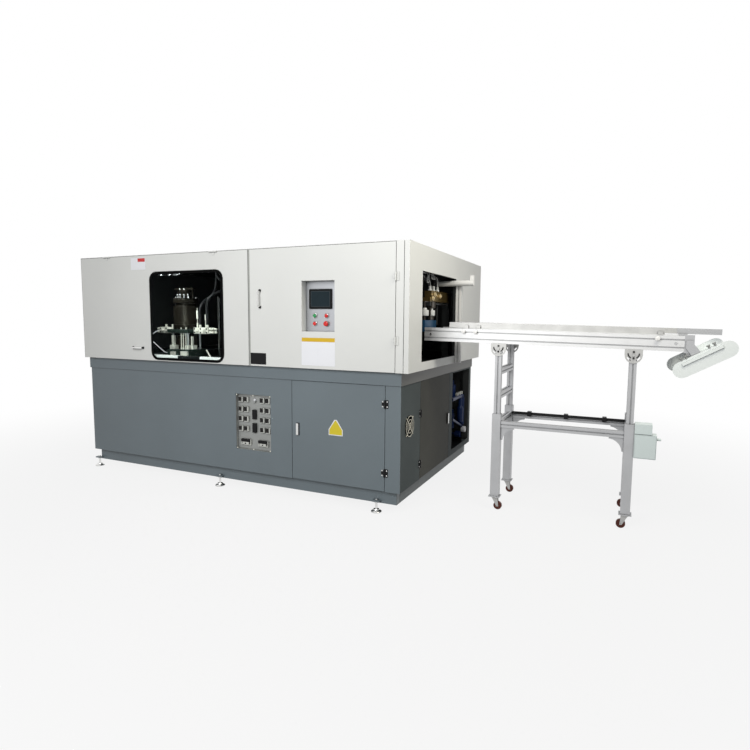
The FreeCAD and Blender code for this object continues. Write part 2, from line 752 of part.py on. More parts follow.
def base_skirt():
    """Bottom frame of channels with cross members, and a lug for each foot."""
    (x0, x1), (y0, y1) = SKIRT_X, SKIRT_Y
    inner0, inner1 = y0 + SKIRT_FLANGE, y1 - SKIRT_FLANGE
    span = inner1 - inner0
    shapes = [channel("YZ", x0, x1 - x0, y0, 1), channel("YZ", x0, x1 - x0, y1, -1),
              channel("XZ", inner0, span, x0, 1), channel("XZ", inner0, span, x1, -1)]
    for x in (-TANK_X - SADDLE_W / 2, -SPLIT, (x0 - SPLIT) / 2):
        shapes.append(channel("XZ", inner0, span, x, 1))
    for x, y in FEET:
        web, way = (y0, -1) if y < CAB_DEPTH / 2 else (y1, 1)
        edge = y + way * (SPINDLE_R + LUG_T)
        lug = box(x - LUG / 2, x + LUG / 2, web, edge, LUG_Z, LUG_Z + LUG_T)
        shapes.append(lug.cut(prism((x, y, LUG_Z), (x, y, LUG_Z + LUG_T), SPINDLE_R, 6)))
    return shapes


def levelling_feet():
    """Pads with a spindle and lock nut, each screwed into its lug."""
    shapes = []
    for x, y in FEET:
        pad = prism((x, y, 0), (x, y, FOOT_PAD_H / 2), FOOT_PAD_R)
        boss = prism((x, y, FOOT_PAD_H / 2), (x, y, FOOT_PAD_H), FOOT_BOSS_R, 8)
        spindle = prism((x, y, FOOT_PAD_H), (x, y, LUG_Z + 2 * LUG_T), SPINDLE_R, 6)
        nut = prism((x, y, LUG_Z - FOOT_NUT_H), (x, y, LUG_Z), FOOT_NUT_R, 6)
        shapes.append(fused((pad, boss, spindle, nut)))
    return shapes


def base_frame():
    """Uprights and the deep top band, welded to the bottom frame."""
    half = BASE_TUBE / 2
    left, right = PANEL_LEFT + SHEET + half, PANEL_RIGHT - SHEET - half
    front, back = PANEL_FRONT + SHEET + half, PANEL_BACK - SHEET - half
    middle = -SOCKET_LEFT - BASE_TUBE
    uprights = [(x, y) for x in (left, middle, right) for y in (front, back)]
    uprights += [(-POWER_LEFT - DOOR_GAP - half, front), (right, (SIDE_DOOR_BACK + BAY_FRONT) / 2),
                 (right, SIDE_DOOR_FRONT - half - DOOR_GAP)]
    shapes = [member((x, y, SKIRT_HIGH), (x, y, BAND_LOW), BASE_TUBE) for x, y in uprights]
    mid, deep = (BAND_LOW + BASE_TOP) / 2, BAND_D / 2
    for y in (BY0 + deep, BY1 - deep):
        shapes.append(member((BX0, y, mid), (BX1, y, mid), BAND_D, BAND_HIGH))
    for x in (BX0 + deep, BX1 - deep):
        shapes.append(member((x, BY0 + BAND_D, mid), (x, BY1 - BAND_D, mid), BAND_D, BAND_HIGH))
    return shapes + base_skirt()


def base_table():
    """Machined table inside the top band."""
    return slab("XY", BASE_TOP - TABLE, TABLE, BX0 + BAND_D, BX1 - BAND_D, BY0 + BAND_D, BY1 - BAND_D)


SIDE_Y = (PANEL_FRONT + SHEET, PANEL_BACK - SHEET)


def base_front():
    """Front sheets left and right of the electrical door, with the socket panel's hole."""
    socket = (-SOCKET_LEFT, -SOCKET_RIGHT, SOCKET_LOW, SOCKET_HIGH)
    main = slab("XZ", PANEL_FRONT, SHEET, PANEL_LEFT, -POWER_LEFT - DOOR_GAP, SKIRT_HIGH, BAND_LOW,
                0.0, (socket,))
    return main, slab("XZ", PANEL_FRONT, SHEET, DOOR_GAP - POWER_RIGHT, PANEL_RIGHT, SKIRT_HIGH, BAND_LOW)


def base_right():
    """Right sheets: one with the fan's hole, one with the open bay of the air unit."""
    fan_side = slab("YZ", PANEL_RIGHT, -SHEET, SIDE_Y[0], SIDE_DOOR_FRONT - DOOR_GAP, SKIRT_HIGH, BAND_LOW)
    hole = bored((PANEL_RIGHT - SHEET, FAN_Y, FAN_Z), (PANEL_RIGHT, FAN_Y, FAN_Z), FAN_R, 20)
    bay = (BAY_FRONT, BAY_BACK, BAY_LOW, BAY_HIGH)
    bay_side = slab("YZ", PANEL_RIGHT, -SHEET, SIDE_DOOR_BACK + DOOR_GAP, SIDE_Y[1], SKIRT_HIGH, BAND_LOW,
                    0.0, (bay,))
    return fan_side.cut(hole), bay_side


def base_back():
    """Left and back sheets; the back one has two banks of louvre slots."""
    left = slab("YZ", PANEL_LEFT, SHEET, *SIDE_Y, SKIRT_HIGH, BAND_LOW)
    slots = []
    for x in LOUVRE_X:
        for row in range(LOUVRE_ROWS):
            z = LOUVRE_Z + row * LOUVRE_PITCH
            slots.append((-x - LOUVRE_W / 2, LOUVRE_W / 2 - x, z, z + LOUVRE_H))
    back = slab("XZ", PANEL_BACK, -SHEET, PANEL_LEFT, PANEL_RIGHT, SKIRT_HIGH, BAND_LOW, 0.0, slots)
    return left, back


def power_door():
    return tray("XZ", PANEL_FRONT, 1, -POWER_LEFT, -POWER_RIGHT, SKIRT_HIGH + DOOR_GAP,
                BAND_LOW - DOOR_GAP, DOOR_TRAY)


def side_door():
    return tray("YZ", PANEL_RIGHT, -1, SIDE_DOOR_FRONT, SIDE_DOOR_BACK, SKIRT_HIGH + DOOR_GAP,
                BAND_LOW - DOOR_GAP, DOOR_TRAY)


BOX_Y = PANEL_FRONT + SHEET + BASE_TUBE    # mouth of the electrical box
BOX_X = (DOOR_GAP - POWER_LEFT, PANEL_RIGHT - SHEET - BASE_TUBE)


def power_box():
    """Open-fronted liner behind the electrical door, standing on the bottom frame."""
    outer = box(*BOX_X, BOX_Y, BOX_Y + POWER_BOX_DEPTH, SKIRT_HIGH, BAND_LOW)
    inner = box(BOX_X[0] + SHEET, BOX_X[1] - SHEET, BOX_Y, BOX_Y + POWER_BOX_DEPTH - SHEET,
                SKIRT_HIGH + SHEET, BAND_LOW - SHEET)
    return outer.cut(inner)


def power_units():
    """Drive, contactor row and terminal rail on the electrical box's back wall."""
    wall = BOX_Y + POWER_BOX_DEPTH - SHEET
    middle = (BOX_X[0] + BOX_X[1]) / 2
    width, deep = BOX_X[1] - BOX_X[0], POWER_BOX_DEPTH / 2
    low, high = SKIRT_HIGH + TABLE, BAND_LOW - TABLE
    third = (high - low) / 3
    drive = box(middle - width / 3, middle - width / 12, wall - deep, wall, high - third, high)
    fins = [box(middle + width * k / 24, middle + width * k / 24 + DOOR_TRAY, wall - deep, wall,
                high - third, high) for k in range(0, 8, 2)]
    row = box(middle - width / 3, middle + width / 3, wall - deep / 2, wall, low + third, low + 1.6 * third)
    rail = box(middle - width / 3, middle + width / 3, wall - deep / 4, wall, low + third / 4, low + third / 2)
    return [drive, row, rail] + fins


SOCKET_BACK = PANEL_FRONT + SHEET + SOCKET_SINK


def socket_panel():
    """Sunk plate for the heater sockets, with its signal lamp."""
    y = PANEL_FRONT + SHEET
    sunk = slab("XZ", y, SOCKET_SINK + SHEET, -SOCKET_LEFT - SHEET, SHEET - SOCKET_RIGHT,
                SOCKET_LOW - SHEET, SOCKET_HIGH + SHEET)
    sunk = sunk.cut(slab("XZ", y, SOCKET_SINK, -SOCKET_LEFT, -SOCKET_RIGHT, SOCKET_LOW, SOCKET_HIGH))
    middle = -(SOCKET_LEFT + SOCKET_RIGHT) / 2
    lamp = prism((middle, SOCKET_BACK, LAMP_Z), (middle, SOCKET_BACK - LAMP_R, LAMP_Z), LAMP_R)
    return fused((sunk, lamp))


def sockets():
    """Sixteen small sockets, two tall and two wide ones, each an open frame on the plate."""
    middle = (SOCKET_LEFT + SOCKET_RIGHT) / 2
    places = [(x, SOCKET_TOP_Z - row * SOCKET_PITCH_Z, SOCKET_SIZE) for row in range(4) for x in SOCKET_COLUMNS]
    places += [(middle, z, TALL_SIZE) for z in TALL_Z]
    places += [(x, WIDE_Z, WIDE_SIZE) for x in WIDE_X]
    frames = []
    for x, z, (width, height) in places:
        u, v, rim = width / 2, height / 2, SOCKET_RIM
        frames.append(slab("XZ", SOCKET_BACK, -2 * rim, -x - u, u - x, z - v, z + v, 0.0,
                           ((rim - x - u, u - x - rim, z - v + rim, z + v - rim),)))
    return frames


# ---------------------------------------------------------------- side fan
def fan_guard():
    """Wire guard of the side fan: rings on four spokes with bolted feet."""
    x = PANEL_RIGHT + GUARD_STAND
    shapes = []
    for radius in GUARD_RINGS:
        outer = prism((x, FAN_Y, FAN_Z), (x + GUARD_WIRE, FAN_Y, FAN_Z), radius + GUARD_WIRE / 2)
        inner = prism((x, FAN_Y, FAN_Z), (x + GUARD_WIRE, FAN_Y, FAN_Z), radius - GUARD_WIRE / 2)
        shapes.append(outer.cut(inner))
    end = FAN_R + 4 * GUARD_WIRE
    for turn in range(4):
        spoke = box(x, x + GUARD_WIRE, FAN_Y, FAN_Y + end, FAN_Z - GUARD_WIRE / 2, FAN_Z + GUARD_WIRE / 2)
        foot = box(PANEL_RIGHT, x, FAN_Y + end - 2 * GUARD_WIRE, FAN_Y + end, FAN_Z - GUARD_WIRE, FAN_Z + GUARD_WIRE)
        bar = spoke.fuse(foot)
        bar.rotate(Vector(x, FAN_Y, FAN_Z), X, 45.0 + 90.0 * turn)
        shapes.append(bar)
    return fused(shapes)


def fan():
    """Axial fan behind its guard: housing with the motor bridge, and the bladed rotor."""
    x1 = PANEL_RIGHT - SHEET
    x0 = x1 - FAN_DEPTH
    half, bridge = FAN_R + LEAF * 2, 2 * LEAF
    bore = FAN_R - SHEET
    housing = slab("YZ", x0, FAN_DEPTH, FAN_Y - half, FAN_Y + half, FAN_Z - half, FAN_Z + half)
    housing = housing.cut(bored((x0, FAN_Y, FAN_Z), (x1, FAN_Y, FAN_Z), bore, 20))
    strut = box(x0, x0 + bridge, FAN_Y - FAN_R, FAN_Y + FAN_R, FAN_Z - 2 * bridge, FAN_Z + 2 * bridge)
    spindle = prism((x0, FAN_Y, FAN_Z), (x0 + FAN_DEPTH / 2, FAN_Y, FAN_Z), bridge, 8)
    hub_start = x0 + bridge + SEAT
    hub = prism((hub_start, FAN_Y, FAN_Z), (x1 - bridge, FAN_Y, FAN_Z), FAN_HUB_R)
    blades = []
    for index in range(FAN_BLADES):
        chord = FAN_DEPTH / 2
        blade = box(hub_start, hub_start + chord, FAN_Y - BLADE_T / 2, FAN_Y + BLADE_T / 2,
                    FAN_Z + FAN_HUB_R / 2, FAN_Z + bore - FAN_TIP)
        blade.rotate(Vector(hub_start + chord / 2, FAN_Y, FAN_Z), Z, FAN_PITCH)
        blade.rotate(Vector(x0, FAN_Y, FAN_Z), X, 360.0 * index / FAN_BLADES)
        blades.append(blade)
    rotor = fused([hub] + blades)
    rotor = rotor.cut(bored((x0, FAN_Y, FAN_Z), (x0 + FAN_DEPTH / 2 + SEAT, FAN_Y, FAN_Z), bridge + RUNNING_FIT))
    return fused((housing, strut, spindle)), rotor


# ---------------------------------------------------------------- latches
def latch(x, y, z, out):
    """Paddle latch: a plate on the door and the paddle, whose spindle turns in the plate."""
    side = out.cross(Z)
    half_w, half_h = LATCH_W / 2, LATCH_H / 2

    def piece(margin, near, far):
        a = Vector(x, y, 0) + side * (margin - half_w) + out * near
        b = Vector(x, y, 0) + side * (half_w - margin) + out * far
        return box(a.x, b.x, a.y, b.y, z - half_h + margin, z + half_h - margin)

    centre = Vector(x, y, z + half_h - LATCH_TOP)
    inner, outer = centre + out, centre + out * (LATCH_PLATE + SEAT)
    plate = piece(0, 0, LATCH_PLATE).cut(bored(inner, outer, LATCH_SPINDLE_R + RUNNING_FIT))
    paddle = piece(LATCH_W / 8, LATCH_PLATE + SEAT, LATCH_PLATE + SEAT + LATCH_PADDLE)
    return plate, fused((paddle, prism(inner + out * SEAT, outer, LATCH_SPINDLE_R)))


# ---------------------------------------------------------------- air service unit in the open bay
BAY_X = PANEL_RIGHT - SHEET - BASE_TUBE    # inner faces of the right uprights
BAY_WALL = BAY_X - BAY_DEPTH + SHEET


def air_bracket():
    """Folded sheet behind the open bay that carries the pipework."""
    wall = slab("YZ", BAY_WALL, -SHEET, BAY_FRONT, PANEL_BACK - SHEET - BASE_TUBE, SKIRT_HIGH, BAND_LOW)
    floor = slab("XY", SKIRT_HIGH, SHEET, BAY_WALL - SHEET, BAY_X, BAY_FRONT, PANEL_BACK - SHEET - BASE_TUBE)
    return fused((wall, floor))


def air_system():
    """Filter bowls, headers and branches of the air unit, and the drain with its cap."""
    x = BAY_X - AIR_REACH
    shapes = []
    for z, radius in zip(BOWL_Z, BOWL_R):
        shapes.append(prism((x, BOWL_Y, z - BOWL_H / 2), (x, BOWL_Y, z + BOWL_H / 2), radius))
        shapes.append(prism((x, BOWL_Y, z + BOWL_H / 2), (x, BOWL_Y, z + BOWL_H / 2 + BOWL_HEAD), BOWL_NECK_R, 8))
        shapes.append(prism((BAY_WALL, BOWL_Y, z), (x, BOWL_Y, z), BRANCH_R, 6))
    for z in HEADER_Z:
        shapes.append(prism((x, HEADER_FRONT, z), (x, BOWL_Y, z), PIPE_R, 8))
        shapes.append(prism((BAY_WALL, HEADER_FRONT + PIPE_R, z), (x, HEADER_FRONT + PIPE_R, z), BRANCH_R, 6))
    shapes.append(prism((x, HEADER_FRONT + BOWL_HEAD, HEADER_Z[0]), (x, BOWL_Y, BOWL_Z[1]), BRANCH_R, 6))
    face = x + BOWL_HEAD
    drain = prism((BAY_WALL, CAP_Y, CAP_Z), (face, CAP_Y, CAP_Z), BRANCH_R, 6)
    cap = prism((face, CAP_Y, CAP_Z), (face + CAP_H, CAP_Y, CAP_Z), CAP_R, 16)
    return fused(shapes), fused((drain, cap))


def air_tank():
    """High-pressure receiver with domed ends, and its two saddles."""
    spans = ((TANK_FRONT, TANK_FRONT + TANK_DOME, TANK_R - TANK_DOME / 2),
             (TANK_FRONT + TANK_DOME, TANK_BACK - TANK_DOME, TANK_R),
             (TANK_BACK - TANK_DOME, TANK_BACK, TANK_R - TANK_DOME / 2))
    tank = fused([prism((-TANK_X, y0, TANK_Z), (-TANK_X, y1, TANK_Z), radius, 20) for y0, y1, radius in spans])
    saddles = []
    for y in (TANK_FRONT + SADDLE_IN, TANK_BACK - SADDLE_IN - SADDLE_T):
        plate = slab("XZ", y, SADDLE_T, -TANK_X - SADDLE_W / 2, SADDLE_W / 2 - TANK_X, SKIRT_HIGH, SADDLE_TOP)
        saddles.append(plate.cut(prism((-TANK_X, y, TANK_Z), (-TANK_X, y + SADDLE_T, TANK_Z), TANK_R, 20)))
    return tank, saddles


# ---------------------------------------------------------------- blow station behind the window
ST_TOP = BASE_TOP + ST_BASE[2]
HEAD_TOP = ST_HEAD_LOW + ST_HEAD[2]
CYL_LOW = HEAD_TOP + FLANGE_H
CAP_TOP = CYL_LOW + CYL_H + CYL_NECK_H
TIES = [(ST_X + sx * TIE_DX, ST_Y + sy * TIE_DY) for sx in (-1, 1) for sy in (-1, 1)]


def centred_plate(size, z):
    """Round-cornered plate of the blow station."""
    return slab("XY", z, size[2], ST_X - size[0] / 2, ST_X + size[0] / 2,
                ST_Y - size[1] / 2, ST_Y + size[1] / 2, ST_CORNER)


def blow_cylinder():
    """Head plate with the two-stage cylinder, its capscrews and the two valve blocks."""
    top, joint = CYL_LOW + CYL_H, CYL_LOW + CYL_STAGE
    levels = ((HEAD_TOP, CYL_LOW, FLANGE_R), (CYL_LOW, joint - CYL_WAIST, CYL_R),
              (joint - CYL_WAIST, joint + CYL_WAIST, CYL_R - CYL_WAIST), (joint + CYL_WAIST, top, CYL_R))
    stages = [prism((ST_X, ST_Y, z0), (ST_X, ST_Y, z1), radius, 24) for z0, z1, radius in levels]
    neck = prism((ST_X, ST_Y, top), (ST_X, ST_Y, CAP_TOP), CYL_NECK_R, 8)
    bolts = []
    for index in range(CAP_BOLTS):
        angle = 2 * math.pi * (index + 0.5) / CAP_BOLTS
        x, y = ST_X + CAP_BOLT_RING * math.cos(angle), ST_Y + CAP_BOLT_RING * math.sin(angle)
        bolts.append(prism((x, y, top), (x, y, top + CAP_BOLT_H), CAP_BOLT_R, 6))
    bores = [bored((ST_X + side * STRETCH_DX, ST_Y, CAP_TOP - STRETCH_DEPTH - STRETCH_BAR[2]),
                 (ST_X + side * STRETCH_DX, ST_Y, top), STRETCH_R + RUNNING_FIT) for side in (-1, 1)]
    shapes = [centred_plate(ST_HEAD, ST_HEAD_LOW), fused(stages + [neck] + bolts).cut(bores)]
    low = ST_HEAD_LOW - VALVE_DROP
    for side in (-1, 1):
        x = ST_X + side * (ST_HEAD[0] + VALVE[0]) / 2
        valve = block((x, ST_Y), VALVE, low)
        ports = [prism((x + step * VALVE[0] / 4, ST_Y, low + VALVE[2]),
                       (x + step * VALVE[0] / 4, ST_Y, low + VALVE[2] + PORT_H), PORT_R, 8) for step in (-1, 1)]
        shapes.append(fused([valve] + ports))
    return shapes


def ties():
    """Four tie rods between the station's plates, with their nuts."""
    shapes = []
    for x, y in TIES:
        bar = prism((x, y, ST_TOP), (x, y, ST_HEAD_LOW), TIE_R, 8)
        nuts = [prism((x, y, z), (x, y, z + TIE_NUT_H), TIE_NUT_R, 6)
                for z in (ST_TOP, ST_HEAD_LOW - TIE_NUT_H)]
        shapes.append(fused([bar] + nuts))
    return shapes


def mould_half(side):
    """One half of the mould: a block with two half cavities, backed by its ribbed clamp plate."""
    face = ST_X + side * MOULD_GAP / 2
    z0 = ST_TOP + SEAT
    back = face + side * MOULD_W
    half_d = MOULD_D / 2
    pieces = [box(face, back, ST_Y - half_d, ST_Y + half_d, z0, z0 + MOULD_H),
              box(back, back + side * CLAMP_PLATE, ST_Y - half_d - CLAMP_OVER, ST_Y + half_d + CLAMP_OVER,
                  z0, z0 + MOULD_H + CLAMP_OVER)]
    cavities = []
    for y in (ST_Y - CAVITY_DY, ST_Y + CAVITY_DY):
        cavities.append(prism((ST_X, y, z0 + BOTTLE_LOW), (ST_X, y, z0 + BOTTLE_SHOULDER), BOTTLE_R))
        cavities.append(prism((ST_X, y, z0 + BOTTLE_SHOULDER), (ST_X, y, z0 + MOULD_H), NECK_R))
    return fused(pieces).cut(cavities)


def stretch_carriage():
    """Crosspiece over the cylinder with the two stretch rods that run down into it."""
    low = CAP_TOP + SEAT
    bar = slab("XY", low, STRETCH_BAR[2], ST_X - STRETCH_BAR[0] / 2, ST_X + STRETCH_BAR[0] / 2,
               ST_Y - STRETCH_BAR[1] / 2, ST_Y + STRETCH_BAR[1] / 2)
    rods = [prism((ST_X + side * STRETCH_DX, ST_Y, low - STRETCH_DEPTH),
                  (ST_X + side * STRETCH_DX, ST_Y, low), STRETCH_R) for side in (-1, 1)]
    return fused([bar] + rods)


def oven():
    """Preform oven: two walls and a roof over the track, with a rack of lamp rods on each wall."""
    x0, x1, y0, y1 = OVEN
    mid, high = (y0 + y1) / 2, BASE_TOP + OVEN_H
    slot = OVEN_SLOT / 2
    points = [(y0, BASE_TOP), (mid - slot, BASE_TOP), (mid - slot, high - OVEN_WALL), (mid + slot, high - OVEN_WALL),
              (mid + slot, BASE_TOP), (y1, BASE_TOP), (y1, high), (y0, high)]
    hood = profile("YZ", x0, x1 - x0, points)
    lamps = []
    for index in range(OVEN_LAMPS):
        z = BASE_TOP + OVEN_H * (index + 1) / (OVEN_LAMPS + 1)
        lamps += [prism((x0, mid + side * (slot - LAMP_ROD_R / 2), z), (x1, mid + side * (slot - LAMP_ROD_R / 2), z),
                        LAMP_ROD_R, 6) for side in (-1, 1)]
    return fused([hood] + lamps)


# ---------------------------------------------------------------- take-out unit in the side opening
SLIDE_Z = BEAM_LOW - SLIDE_RISE


def take_out_stand():
    """Column and beam over the conveyor's inner end, with the slide rod's two brackets."""
    half = BEAM_W / 2
    column = box(TAKE_X - half, TAKE_X + half, BEAM_BACK - COLUMN, BEAM_BACK, BASE_TOP, BEAM_LOW)
    beam = slab("YZ", TAKE_X - half, BEAM_W, BEAM_FRONT, BEAM_BACK, BEAM_LOW, BEAM_HIGH)
    ends = [box(TAKE_X - half, TAKE_X + half, y, y + SLIDE_END, SLIDE_Z - SLIDE_RISE, BEAM_LOW)
            for y in (BEAM_FRONT - SLIDE_END, BEAM_BACK - COLUMN - SLIDE_END)]
    shelf = box(TAKE_X - half, TAKE_X + half, BEAM_FRONT - SLIDE_END, BEAM_FRONT, BEAM_LOW, BEAM_LOW + SLIDE_END)
    y, z, radius = GUIDE_ROD
    hanger = prism((TAKE_X - half + radius * 2, y, z), (TAKE_X - half + radius * 2, y, BEAM_LOW), radius, 8)
    return fused([column, beam, shelf, hanger] + ends)


def take_out_slide():
    """Ground rod under the beam that the gripper carriage runs on."""
    return prism((TAKE_X + BEAM_W / 4, BEAM_FRONT, SLIDE_Z), (TAKE_X + BEAM_W / 4, BEAM_BACK - COLUMN - SLIDE_END, SLIDE_Z),
                 SLIDE_R)


def take_out_carriage():
    """Runner on the slide rod with the two pneumatic tubes and the gripper block under them."""
    x = TAKE_X + BEAM_W / 4
    start = BEAM_FRONT + SEAT
    width, length, height = CARRIER
    runner = box(x - width / 2, x + width / 2, start, start + length, SLIDE_Z - height + SLIDE_R * 2,
                 SLIDE_Z + SLIDE_R * 2)
    runner = runner.cut(bored((x, start, SLIDE_Z), (x, start + length, SLIDE_Z), SLIDE_R + RUNNING_FIT))
    tubes = [prism((x, TUBE_FRONT, TUBE_Z), (x, TUBE_SPLIT[0], TUBE_Z), TUBE_R),
             prism((x, TUBE_SPLIT[0], TUBE_Z), (x, TUBE_SPLIT[1], TUBE_Z), TUBE_R / 2, 8),
             prism((x, TUBE_SPLIT[1], TUBE_Z), (x, TUBE_BACK, TUBE_Z), TUBE_R)]
    hanger = box(x - GRIP_T / 4, x + GRIP_T / 4, start, start + length, GRIP_Z[1], SLIDE_Z - height + SLIDE_R * 2)
    grip = box(x - GRIP_T / 2, x + GRIP_T / 2, *GRIP_Y, *GRIP_Z)
    return fused([runner, hanger, grip] + tubes)


def sensor_post():
    """Upright slotted post bolted to the cabinet's side, with the white arm and its sensor."""
    y = SENSOR_Y + SENSOR_R + POST_W / 2
    post = slotted("XY", BASE_TOP, SENSOR_Z + SENSOR_R - BASE_TOP, POST_W / 2, y, POST_W, POST_W, 1, 1)
    arm = rod((-SENSOR_REACH, SENSOR_Y, SENSOR_Z), (SENSOR_REACH, SENSOR_Y, SENSOR_Z), SENSOR_R)
    long_side, wide, high = SENSOR_HEAD
    head = box(SENSOR_REACH - long_side, SENSOR_REACH, SENSOR_Y - wide / 2, SENSOR_Y + wide / 2,
               SENSOR_Z, SENSOR_Z + SENSOR_R + high)
    return post, fused((arm, head))


# ---------------------------------------------------------------- conveyor
def sloped(shape):
    """Tip a piece drawn level about the rails' inner end."""
    tipped = shape.copy()
    tipped.rotate(Vector(RAIL_START, 0, RAIL_START_Z), Y, SLOPE)
    return tipped


def rail_z(x):
    """Height of the rails' centre line over a point of the floor."""
    return RAIL_START_Z - (x - RAIL_START) * math.tan(math.radians(SLOPE))


RAIL_END = RAIL_START + RAIL_LENGTH
RAIL_TOP = RAIL_START_Z + RAIL_H / 2
RAILS = ((RAIL_FRONT_Y, -1), (RAIL_BACK_Y, 1))
ROLLERS_X = (RAIL_START + ROLLER_IN, RAIL_END - ROLLER_IN)
INNER_FRONT = RAIL_FRONT_Y + RAIL_W / 2
INNER_BACK = RAIL_BACK_Y - RAIL_W / 2
BELT_IN = (ROLLER_R + BELT_CLEAR) / math.cos(math.pi / (4 * CORNER_STEPS))    # its flats clear the drums


def conveyor_rails():
    """Side rails of slotted section, the slider bed between them and its cross bars."""
    shapes = []
    for y, out in RAILS:
        rail = slotted("YZ", RAIL_START, RAIL_LENGTH, y, RAIL_START_Z, RAIL_W, RAIL_H, 0, 2)
        bores = [bored((x, y - RAIL_W, RAIL_START_Z), (x, y + RAIL_W, RAIL_START_Z), SHAFT_R + RUNNING_FIT)
                 for x in ROLLERS_X]
        shapes.append(sloped(rail.cut(bores)))
    top = RAIL_START_Z + BELT_IN
    x0, x1 = ROLLERS_X[0] + ROLLER_R + BELT_MARGIN, ROLLERS_X[1] - ROLLER_R - BELT_MARGIN
    bed = [slab("XY", top - SHEET, SHEET, x0, x1, INNER_FRONT, INNER_BACK)]
    for index in range(BED_BARS):
        x = x0 + (x1 - x0) * (index + 0.5) / BED_BARS
        z = top - SHEET - BED_BAR / 2
        bed.append(member((x, INNER_FRONT, z), (x, INNER_BACK, z), BED_BAR))
    return shapes + [sloped(piece) for piece in bed]


def conveyor_belt():
    """Endless belt round the two rollers, its turns drawn in flats."""
    x0, x1 = ROLLERS_X
    y0, y1 = INNER_FRONT + BELT_MARGIN, INNER_BACK - BELT_MARGIN
    rounds = []
    for radius in (BELT_IN + BELT, BELT_IN):
        rounds.append(slab("XZ", y0, y1 - y0, x0 - radius, x1 + radius, RAIL_START_Z - radius,
                           RAIL_START_Z + radius, radius - END_SLIVER))
    return sloped(rounds[0].cut(rounds[1]))


def conveyor_roller(x):
    """Drum on stub shafts that turn in the rails."""
    start, end = RAIL_FRONT_Y - RAIL_W / 2 + LEAF, RAIL_BACK_Y + RAIL_W / 2 - LEAF
    drum = rod((x, INNER_FRONT + LEAF, RAIL_START_Z), (x, INNER_BACK - LEAF, RAIL_START_Z), ROLLER_R)
    shafts = [prism((x, a, RAIL_START_Z), (x, b, RAIL_START_Z), SHAFT_R, 8)
              for a, b in ((start, INNER_FRONT + LEAF), (INNER_BACK - LEAF, end))]
    return sloped(fused([drum] + shafts))


def conveyor_guides():
    """Two guide plates on edge over the rails, each held by clamps on its outer side."""
    shapes = []
    low = RAIL_TOP + GUIDE_RISE
    lengths = (GUIDE_FRONT_L, GUIDE_BACK_L)
    for (y, out), length, clamps in zip(RAILS, lengths, (CLAMPS_FRONT, CLAMPS_BACK)):
        start = RAIL_START + GUIDE_START
        pieces = [box(start, start + length, y, y - out * GUIDE_T, low, low + GUIDE_H)]
        for along in clamps:
            x = RAIL_START + along
            pieces.append(box(x, x + CLAMP[0], y, y + out * CLAMP[1], RAIL_TOP, low + GUIDE_H / 2))
        shapes.append(sloped(fused(pieces)))
    return shapes


def bearing_blocks():
    """Capped blocks past the rails' outer ends, each with the arm that carries the end deck."""
    shapes = []
    for y, out in RAILS:
        body = box(RAIL_END, RAIL_END + BLOCK_L, y - RAIL_W / 2, y + RAIL_W / 2,
                   RAIL_START_Z - RAIL_H / 2 - BLOCK_CAP, RAIL_TOP + BLOCK_CAP)
        shapes.append(sloped(body))
        face = y + out * RAIL_W / 2
        x, z = PIVOT
        top, half = rail_z(x) + RAIL_H / 4, ARM_W / 2
        points = [(RAIL_END + BLOCK_CAP, top), (RAIL_END + BLOCK_CAP, top - RAIL_H / 2), (x - half, z - half),
                  (x + half, z - half), (x + half, z + half), (RAIL_END + BLOCK_L, top - RAIL_H / 4),
                  (RAIL_END + BLOCK_L, top)]
        arm = profile("XZ", face, out * ARM_T, points)
        shapes.append(arm.cut(bored((x, face, z), (x, face + out * ARM_T, z), PIVOT_R + RUNNING_FIT)))
    return shapes


def pivot_brackets():
    """Half-round slotted plates that set the deck's slope on top of each leg."""
    shapes = []
    for x in LEG_X:
        top = rail_z(x) - RAIL_H / 2
        z = top - BRACKET_DROP
        for y, out in ((RAIL_FRONT_Y - LEG_UPPER / 2, -1), (RAIL_BACK_Y + LEG_UPPER / 2, 1)):
            rise = BRACKET_R * math.tan(math.radians(SLOPE))

            def arc(radius, start, sweep, steps):
                angles = [math.radians(start + sweep * step / steps) for step in range(steps + 1)]
                return [(x + radius * math.cos(a), z + radius * math.sin(a)) for a in angles]

            outline = arc(BRACKET_R, 180.0, 180.0, 2 * CORNER_STEPS)
            outline += [(x + BRACKET_R, top - rise), (x - BRACKET_R, top + rise)]
            plate = profile("XZ", y, out * BRACKET_T, outline)
            for start in BRACKET_SLOTS:
                outer, inner = [arc(radius, start, BRACKET_SLOT_ARC, 3) for radius in BRACKET_SLOT_R]
                plate = plate.cut(profile("XZ", y, out * BRACKET_T, outer + inner[::-1]))
            face = y + out * BRACKET_T
            bolt = prism((x, face, z), (x, face + out * BOLT_H, z), BOLT_R, 6)
            shapes.append(fused((plate, bolt)))
    return shapes


LEGS = [(x, y) for x in LEG_X for y in (RAIL_FRONT_Y, RAIL_BACK_Y)]
LEG_HOLE = LEG_UPPER / 2 + LEG_FIT


def upper_legs():
    """Slotted uprights, cut to the deck's slope, that telescope into the lower legs."""
    low = LEG_LOWER_TOP - LEG_INSERT
    shapes = []
    for x, y in LEGS:
        leg = slotted("XY", low, RAIL_TOP - low, x, y, LEG_UPPER, LEG_UPPER, 1, 1)
        cutter = sloped(box(x - RAIL_H, x + RAIL_H, y - RAIL_H, y + RAIL_H, RAIL_START_Z - RAIL_H / 2,
                            RAIL_TOP + RAIL_H))
        shapes.append(leg.cut(cutter))
    return shapes


